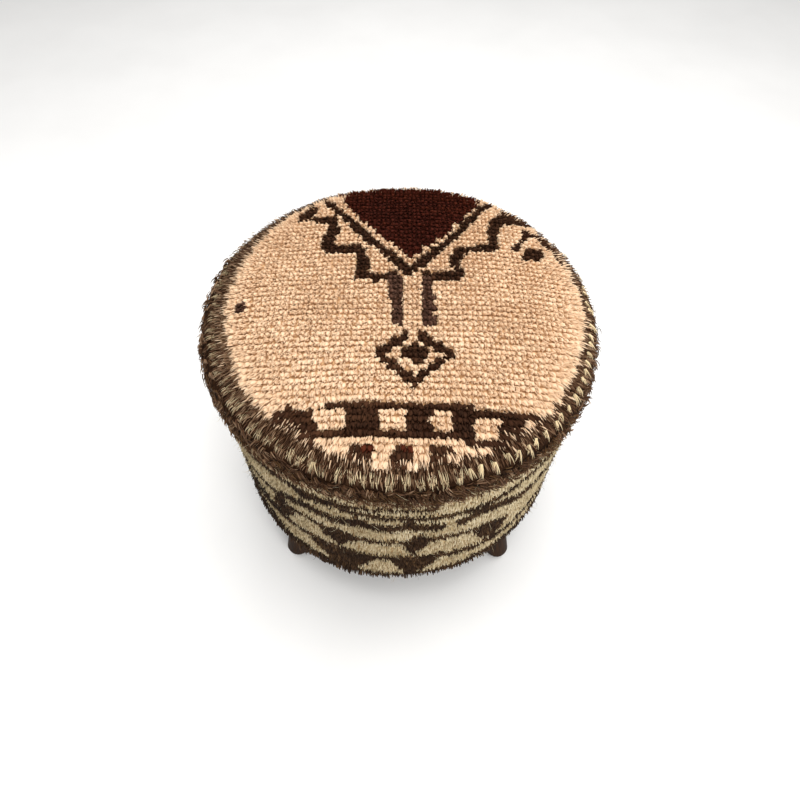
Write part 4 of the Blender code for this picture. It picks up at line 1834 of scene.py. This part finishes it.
@dataclass
class RimStitching:
    """Overcast stitches of cream yarn over the rim: thin strands that gather in a soft tuft at the seam.

    At the right the stitches are sewn as slanted dashes, with fewer strands.
    """

    drum: Drum
    edge: EdgeStrip
    stitches: int = 106
    strands: int = 6
    dash_strands: int = 2
    dash_from: float = 0.3
    dash_behind: float = 0.35
    dash_slant: float = 0.8
    comb_width: float = 8.5 * MM
    gathered: float = 0.72
    bundle: Pile = Pile(15, 0.4 * MM, 9.5 * MM, 1.0 * MM, 0.2, 0.9, 0.3, 0.45, 0.25, 4, 5)
    tuft: Pile = Pile(9, 0.3 * MM, 6.0 * MM, 2.2 * MM, 0.15, 0.8, 0.2, 0.35, 0.15, 3, 4)
    thread: Pile = Pile(1, 0.36 * MM, 12.0 * MM, 0.0, 0.0, 0.9, 0.06, 0.1, 0.0, 4, 6)

    def build(self, ground: Ground) -> None:
        """Sews the stitches over the edge strip.

        Args:
            ground: The ground of the edge strip.
        """
        bundles, tufts, threads = self.sew(ground)
        mount(self.bundle.weave("rim_stitch_bundles", bundles, CottonYarn(), 151), "drum", "cotton_yarn")
        stitches = self.tuft.weave("rim_stitches", tufts, CottonYarn(), 111)
        mount(stitches, "drum", "cotton_yarn", "rim_stitching")
        mount(self.thread.weave("rim_stitch_strands", threads, CottonYarn(), 121), "drum", "cotton_yarn")

    def sew(self, ground: Ground) -> tuple[KnotChart, KnotChart, KnotChart]:
        """Places the stitches round the rim.

        Args:
            ground: The ground of the edge strip.

        Returns:
            The charts of the thick bundles, the tufts and the single strands.
        """
        dice = random.Random(101)
        bundles, tufts, threads = KnotChart(), KnotChart(), KnotChart()
        for step in range(self.stitches):
            angle = FULL_TURN * (step + dice.uniform(-0.2, 0.2)) / self.stitches
            pitch = self.edge.seam_pitch(angle) + math.radians(dice.uniform(-2, 2))
            met = ground.meet(*self.edge.needle(angle, pitch))
            if not met:
                continue
            spot, normal = met
            across = polar(1.0, angle + math.pi / 2, 0.0)
            outward = along(normal, polar(1.0, angle, 0.0) - UP).normalized()
            start = spot + normal * 0.9 * MM
            right = math.cos(angle)
            front = abs(math.sin(angle))
            behind = clamp(math.sin(angle) * 1.5)
            dashed = right > self.dash_from and behind < self.dash_behind
            shade = (0.25 + 0.5 * dice.random()) * (1 - 0.4 * clamp(-right))
            slant = dice.uniform(-0.2, 0.2)
            grown = dice.uniform(0.75, 1.1)
            way = (outward + across * slant + normal * 0.15).normalized()
            if not dashed:
                tufts.tie(start + normal * 1.2 * MM, way, -normal, self.tuft.reach * grown, 0.2 + 0.7 * shade)
            if dice.random() < (0.95 if dashed else 0.12 * clamp(-math.sin(angle))):
                dash = (way - across * self.dash_slant * clamp(right)).normalized()
                place = start - outward * 4.5 * MM + normal * 1.0 * MM
                bundles.tie(place, dash, -normal, self.bundle.reach * grown, 0.4 + 0.5 * shade)
            for strand in range(self.dash_strands if dashed else self.strands):
                aside = (strand / (self.strands - 1) - 0.5) * self.comb_width * (0.7 + 0.3 * front)
                reach = self.thread.reach * grown * (0.65 + 0.35 * front)
                reach *= dice.uniform(0.6, 1.1)
                reach *= 1 - 0.6 * behind
                fan = aside * (1 - self.gathered) / self.thread.reach - slant + dice.uniform(-0.08, 0.08)
                way = (across * fan - outward + normal * 0.35).normalized()
                place = start + across * aside * self.gathered + outward * dice.uniform(0.5, 2.0) * MM
                threads.tie(place, way, -normal, reach, clamp(shade + dice.uniform(-0.05, 0.4)))
        return bundles, tufts, threads


@dataclass
class BackSeam:
    """Cotton stitches across the seam where the two ends of the side carpet meet, at the back."""

    drum: Drum
    pitch: float = 7 * MM
    start_left: float = 4.5 * MM
    proud: float = 0.6 * MM
    thread: Pile = Pile(2, 0.6 * MM, 11 * MM, 0.5 * MM, 0.0, 1.0, 0.04, 0.08, 0.1, 5, 6)

    def build(self) -> None:
        """Sews slanted stitches up the seam, over the pile."""
        dice = random.Random(131)
        chart = KnotChart()
        low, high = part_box("back_seam_stitching")
        for step in range(int((high.z - low.z) / self.pitch)):
            height = low.z + (step + 0.5) * self.pitch
            back = self.drum.side_radius(height) + self.proud
            start = Vector((-self.start_left, back, height + dice.uniform(-0.5, 0.5) * MM))
            way = Vector((1.0, 0.35, 0.3 + dice.uniform(-0.1, 0.1))).normalized()
            chart.tie(start, way, FRONT, self.thread.reach, 0.2 + 0.3 * dice.random())
        seam = self.thread.weave("back_seam_stitches", chart, CottonYarn(), 141)
        mount(seam, "drum", "cotton_yarn", "back_seam_stitching")


@dataclass
class Padding:
    """Seat foam and felt, which give the drum its soft shape under the carpet."""

    drum: Drum
    steps: int = 24
    edge_round: float = 1.2 * MM

    def build(self) -> None:
        """Makes the foam pad and the felt wrap."""
        drum, soft = self.drum, self.edge_round
        low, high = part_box("seat_foam")
        crown = drum.crown_curve(0.0, high.x, drum.rim_height + drum.crown - high.z, self.steps)
        foot = [(high.x, low.z + soft), (high.x - soft, low.z), (0.0, low.z)]
        foam = turned("seat_foam_pad", crown + foot, drum.sides, False, SeatFoam())
        mount(foam, "drum", "foam", "seat_foam")
        low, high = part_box("side_wadding")
        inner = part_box("drum_wall")[1].x + drum.lining_gap
        rim = [(inner, high.z), (high.x - soft, high.z), (high.x, high.z - soft)]
        hem = [(high.x, low.z + soft), (high.x - soft, low.z), (inner, low.z)]
        felt = turned("side_felt", rim + hem, drum.sides, True, WoolFelt())
        mount(felt, "drum", "felt", "side_wadding")


@dataclass
class Leg:
    """One screw-in leg: a tapered foot turned from beech, on a threaded bolt."""

    number: int
    nodes: dict[str, bpy.types.Object]
    frame: Matrix
    sides: int = 48
    bolt_sides: int = 24
    thread_pitch: float = 1.25 * MM
    thread_depth: float = 0.6 * MM
    swell: float = 0.25 * MM
    top_round: float = 1.5 * MM
    foot_round: float = 4 * MM
    taper_steps: int = 8
    corner_steps: int = 6

    @classmethod
    def all(cls, frame: dict[str, Any]) -> list[Leg]:
        """The legs, each in the frame of the joint that it unscrews about.


        Returns:
            The legs in order.
        """
        legs = []
        for joint in frame["joints"]:
            if joint["type"] == "hinge":
                turn = (-Vector(joint["axis"])).to_track_quat("Z", "Y").to_matrix().to_4x4()
                legs.append(cls(len(legs) + 1, frame["nodes"], Matrix.Translation(joint["pos_m"]) @ turn))
        return legs

    def spots(self, stem: str) -> list[tuple[float, float]]:
        """Measures a solid's corners about the leg's own axis.

        Args:
            stem: The solid's name without the leg's number.

        Returns:
            Radius and height of each corner.
        """
        into = self.frame.inverted()
        local = [into @ vert.co for vert in self.nodes[f"{stem}_{self.number}"].data.vertices]
        return [(math.hypot(spot.x, spot.y), spot.z) for spot in local]

    def build(self) -> None:
        """Turns the leg and its bolt."""
        body = f"leg_{self.number}"
        profile = self.leg_profile()
        leg = turned(f"turned_leg_{self.number}", profile, self.sides, False, StainedBeech(), self.frame)
        mount(leg, body, "leg_wood", body)
        profile = self.bolt_profile()
        bolt = turned(f"threaded_bolt_{self.number}", profile, self.bolt_sides, False, Metal(), self.frame)
        mount(bolt, body, "screw_steel", f"hanger_bolt_{self.number}")

    def leg_profile(self) -> list[tuple[float, float]]:
        """Follows the leg down: a softened top edge, a taper with a slight swell, and a rounded foot.

        Returns:
            Radius and height of each point.
        """
        spots = self.spots("leg")
        top = max(height for _, height in spots)
        foot = min(height for _, height in spots)
        middle = (top + foot) / 2
        wide = max(radius for radius, height in spots if height > middle)
        narrow = max(radius for radius, height in spots if height < middle)
        straight = top - foot - (self.top_round + self.foot_round)
        profile = [(0.0, top)]
        profile += self.corner(wide, top, self.top_round, 90, 0)
        for step in range(1, self.taper_steps):
            share = step / self.taper_steps
            radius = wide + (narrow - wide) * share + self.swell * math.sin(math.pi * share)
            profile.append((radius, top - self.top_round - straight * share))
        profile += self.corner(narrow, foot, self.foot_round, 0, -90)
        return profile + [(0.0, foot)]

    def corner(
        self, radius: float, height: float, soft: float, start: float, end: float
    ) -> list[tuple[float, float]]:
        """Rounds an outer corner.

        Args:
            radius: The corner's radius about the axis.
            height: The corner's height.
            soft: Radius of the rounding.
            start: Angle above level to start from, in degrees.
            end: Angle above level to end at, in degrees.

        Returns:
            Radius and height of each point.
        """
        middle = height - math.copysign(soft, start + end)
        points = []
        for step in range(self.corner_steps + 1):
            angle = math.radians(start + (end - start) * step / self.corner_steps)
            points.append((radius - soft + soft * math.cos(angle), middle + soft * math.sin(angle)))
        return points

    def bolt_profile(self) -> list[tuple[float, float]]:
        """Follows the bolt down: rings of thread as far as the leg, and a plain shank inside it.

        Returns:
            Radius and height of each point.
        """
        spots = self.spots("hanger_bolt")
        crest = max(radius for radius, _ in spots)
        root = crest - self.thread_depth
        top = max(height for _, height in spots)
        foot = min(height for _, height in spots)
        leg_top = max(height for _, height in self.spots("leg"))
        profile = [(0.0, top)]
        height = top
        while height > leg_top:
            profile += [(root, height), (crest, height - self.thread_pitch / 2)]
            height -= self.thread_pitch
        return profile + [(root, height), (root, foot), (0.0, foot)]


@dataclass
class Underside:
    """Black cloth stretched under the drum, cut out round the leg blocks, and the staples along its edge."""

    legs: Sequence[Leg]
    steps: int = 16
    sides: int = 120
    thickness: float = 0.5 * MM
    sag: float = 0.9 * MM
    clearance: float = 0.6 * MM
    cut: float = 40 * MM
    staples: int = 48
    crown: tuple[float, float, float] = (10 * MM, 1.2 * MM, 0.6 * MM)
    crown_round: float = 0.2 * MM
    inset: float = 6 * MM
    leg_room: float = 26 * MM

    def build(self) -> None:
        """Stretches the cloth and staples it."""
        low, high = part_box("dust_cover")
        radius = high.x
        rings = [radius * (1 - (step / self.steps) ** 2) for step in range(self.steps + 1)]
        upper = [(ring, high.z - self.dip(ring / radius)) for ring in rings[::-1]]
        lower = [(ring, height - self.thickness) for ring, height in upper[::-1]]
        cloth = turned("dust_cloth", upper + lower, self.sides, False, DustCloth())
        self.notch(cloth)
        mount(cloth, "drum", "dust_cloth", "dust_cover")
        mount(self.tack(radius - self.inset, high.z - self.thickness), "drum", "screw_steel")

    def dip(self, share: float) -> float:
        """How far the cloth hangs at a share of its radius."""
        return self.sag * (1 - share**4)

    def notch(self, cloth: bpy.types.Object) -> None:
        """Cuts the cloth out round the leg blocks.

        Args:
            cloth: The cloth.
        """
        cutters = []
        for leg in self.legs:
            reach = max(radius for radius, _ in leg.spots("leg_block")) + self.clearance
            profile = [(0.0, self.cut), (reach, self.cut), (reach, -self.cut), (0.0, -self.cut)]
            cutter = turned("notch", profile, leg.sides, False, DustCloth(), leg.frame)
            modifier = cloth.modifiers.new("notch", "BOOLEAN")
            modifier.operation = "DIFFERENCE"
            modifier.solver = "EXACT"
            modifier.object = cutter
            cutters.append(cutter)
        plain_mesh(cloth)
        for cutter in cutters:
            bpy.data.meshes.remove(cutter.data)

    def tack(self, radius: float, height: float) -> bpy.types.Object:
        """Sets staples in a ring, missing where the legs are.

        Args:
            radius: Radius of the ring.
            height: Height of the cloth's lower face.

        Returns:
            The staples as one piece.
        """
        bm = bmesh.new()
        for step in range(self.staples):
            angle = FULL_TURN * (step + 0.5) / self.staples
            place = polar(radius, angle, height - self.crown[2] / 2)
            if any((place - leg.frame.translation).length < self.leg_room for leg in self.legs):
                continue
            turn = Matrix.Rotation(angle + math.pi / 2, 4, "Z")
            sizes = Matrix.Diagonal((*self.crown, 1.0))
            bmesh.ops.create_cube(bm, size=1.0, matrix=Matrix.Translation(place) @ turn @ sizes)
        bmesh.ops.bevel(bm, geom=bm.edges[:], offset=self.crown_round, segments=2, affect="EDGES")
        mesh = bpy.data.meshes.new("staples")
        bm.to_mesh(mesh)
        bm.free()
        return new_piece("staples", mesh, Metal())


# Studio


@dataclass(frozen=True)
class Softbox:
    """A square studio light at a place, turned to an aim."""

    name: str
    place: tuple[float, float, float]
    aim: tuple[float, float, float]
    size: float
    power: float

    def build(self) -> None:
        """Hangs the light."""
        data = bpy.data.lights.new(self.name, "AREA")
        data.size = self.size
        data.energy = self.power
        lamp = bpy.data.objects.new(self.name, data)
        bpy.context.scene.collection.objects.link(lamp)
        way = Vector(self.aim) - Vector(self.place)
        turn = way.to_track_quat("-Z", "Y").to_matrix().to_4x4()
        lamp.matrix_world = Matrix.Translation(self.place) @ turn


@dataclass
class Studio:
    """Pale floor, soft light and the camera at the photograph's angle."""

    lens: float = 26.0
    sensor: float = 36.0
    place: tuple[float, float, float] = (0.0011, -0.3992, 0.7633)
    pitch: float = 56.4
    roll: float = 0.65
    floor_size: float = 6.0
    sky: float = 0.5
    lamps: tuple[Softbox, ...] = (
        Softbox("overhead", (0.1, 0.2, 1.75), (0.0, 0.0, 0.3), 1.6, 32.5),
        Softbox("front_fill", (0.95, -1.6, 0.82), (0.0, 0.0, 0.2), 1.0, 19.5),
    )

    def build(self) -> None:
        """Sets up the studio."""
        scene = bpy.context.scene
        scene.view_settings.view_transform = "Standard"
        scene.view_settings.look = "None"
        self.floor()
        self.world(scene)
        for lamp in self.lamps:
            lamp.build()
        data = bpy.data.cameras.new("camera")
        data.lens = self.lens
        data.sensor_width = self.sensor
        camera = bpy.data.objects.new("camera", data)
        scene.collection.objects.link(camera)
        tilt = Matrix.Rotation(math.radians(90 - self.pitch), 4, "X")
        turn = tilt @ Matrix.Rotation(math.radians(self.roll), 4, "Z")
        camera.matrix_world = Matrix.Translation(self.place) @ turn
        scene.camera = camera

    def floor(self) -> None:
        """Lays a wide pale floor."""
        bm = bmesh.new()
        bmesh.ops.create_grid(bm, x_segments=8, y_segments=8, size=self.floor_size)
        mesh = bpy.data.meshes.new("floor")
        bm.to_mesh(mesh)
        bm.free()
        new_piece("floor", mesh, StudioFloor())

    def world(self, scene: bpy.types.Scene) -> None:
        """Lights the scene evenly with white from all round.

        Args:
            scene: The scene.
        """
        world = bpy.data.worlds.new("studio")
        world.use_nodes = True
        tree = world.node_tree
        plug(tree, tree.nodes["Background"], {"Color": linear("#ffffff"), "Strength": self.sky})
        scene.world = world


def dress_frame(nodes: dict[str, bpy.types.Object]) -> None:
    """Gives the carried-over solids their finishes.

    Args:
        nodes: The frame's nodes by name.
    """
    finishes: dict[str, Finish] = {
        "seat_board": BoardWood(),
        "base_board": BoardWood(),
        "drum_wall": Hardboard(),
        "frame_post": SawnPine(),
        "seat_screw": Metal(),
        "base_screw": Metal(),
        "block_screw": Metal(),
        "thread_insert": Brass(),
        "leg_washer": VulcanFibre(),
        "foot_glide": GlideNylon(),
        "leg_block": StainedBlock(),
    }
    for name, node in nodes.items():
        stem = name.rstrip("0123456789").rstrip("_")
        if stem in finishes:
            node.data.materials.clear()
            node.data.materials.append(finishes[stem].material())


def main() -> None:
    """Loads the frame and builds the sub-assemblies in order."""
    logging.basicConfig(level=logging.INFO, format="%(name)s: %(message)s")
    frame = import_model()
    Studio().build()
    drum = Drum.from_frame()
    seat = SeatCarpet(drum)
    edge = EdgeStrip(drum, seat)
    grounds = [seat.lay(), edge.lay()]
    seat.dress(grounds)
    edge.dress(grounds)
    SideCarpet(drum, edge).build(grounds[1])
    RimStitching(drum, edge).build(grounds[1])
    BackSeam(drum).build()
    Padding(drum).build()
    legs = Leg.all(frame)
    for leg in legs:
        leg.build()
    Underside(legs).build()
    dress_frame(frame["nodes"])


if __name__ == "__main__":
    main()
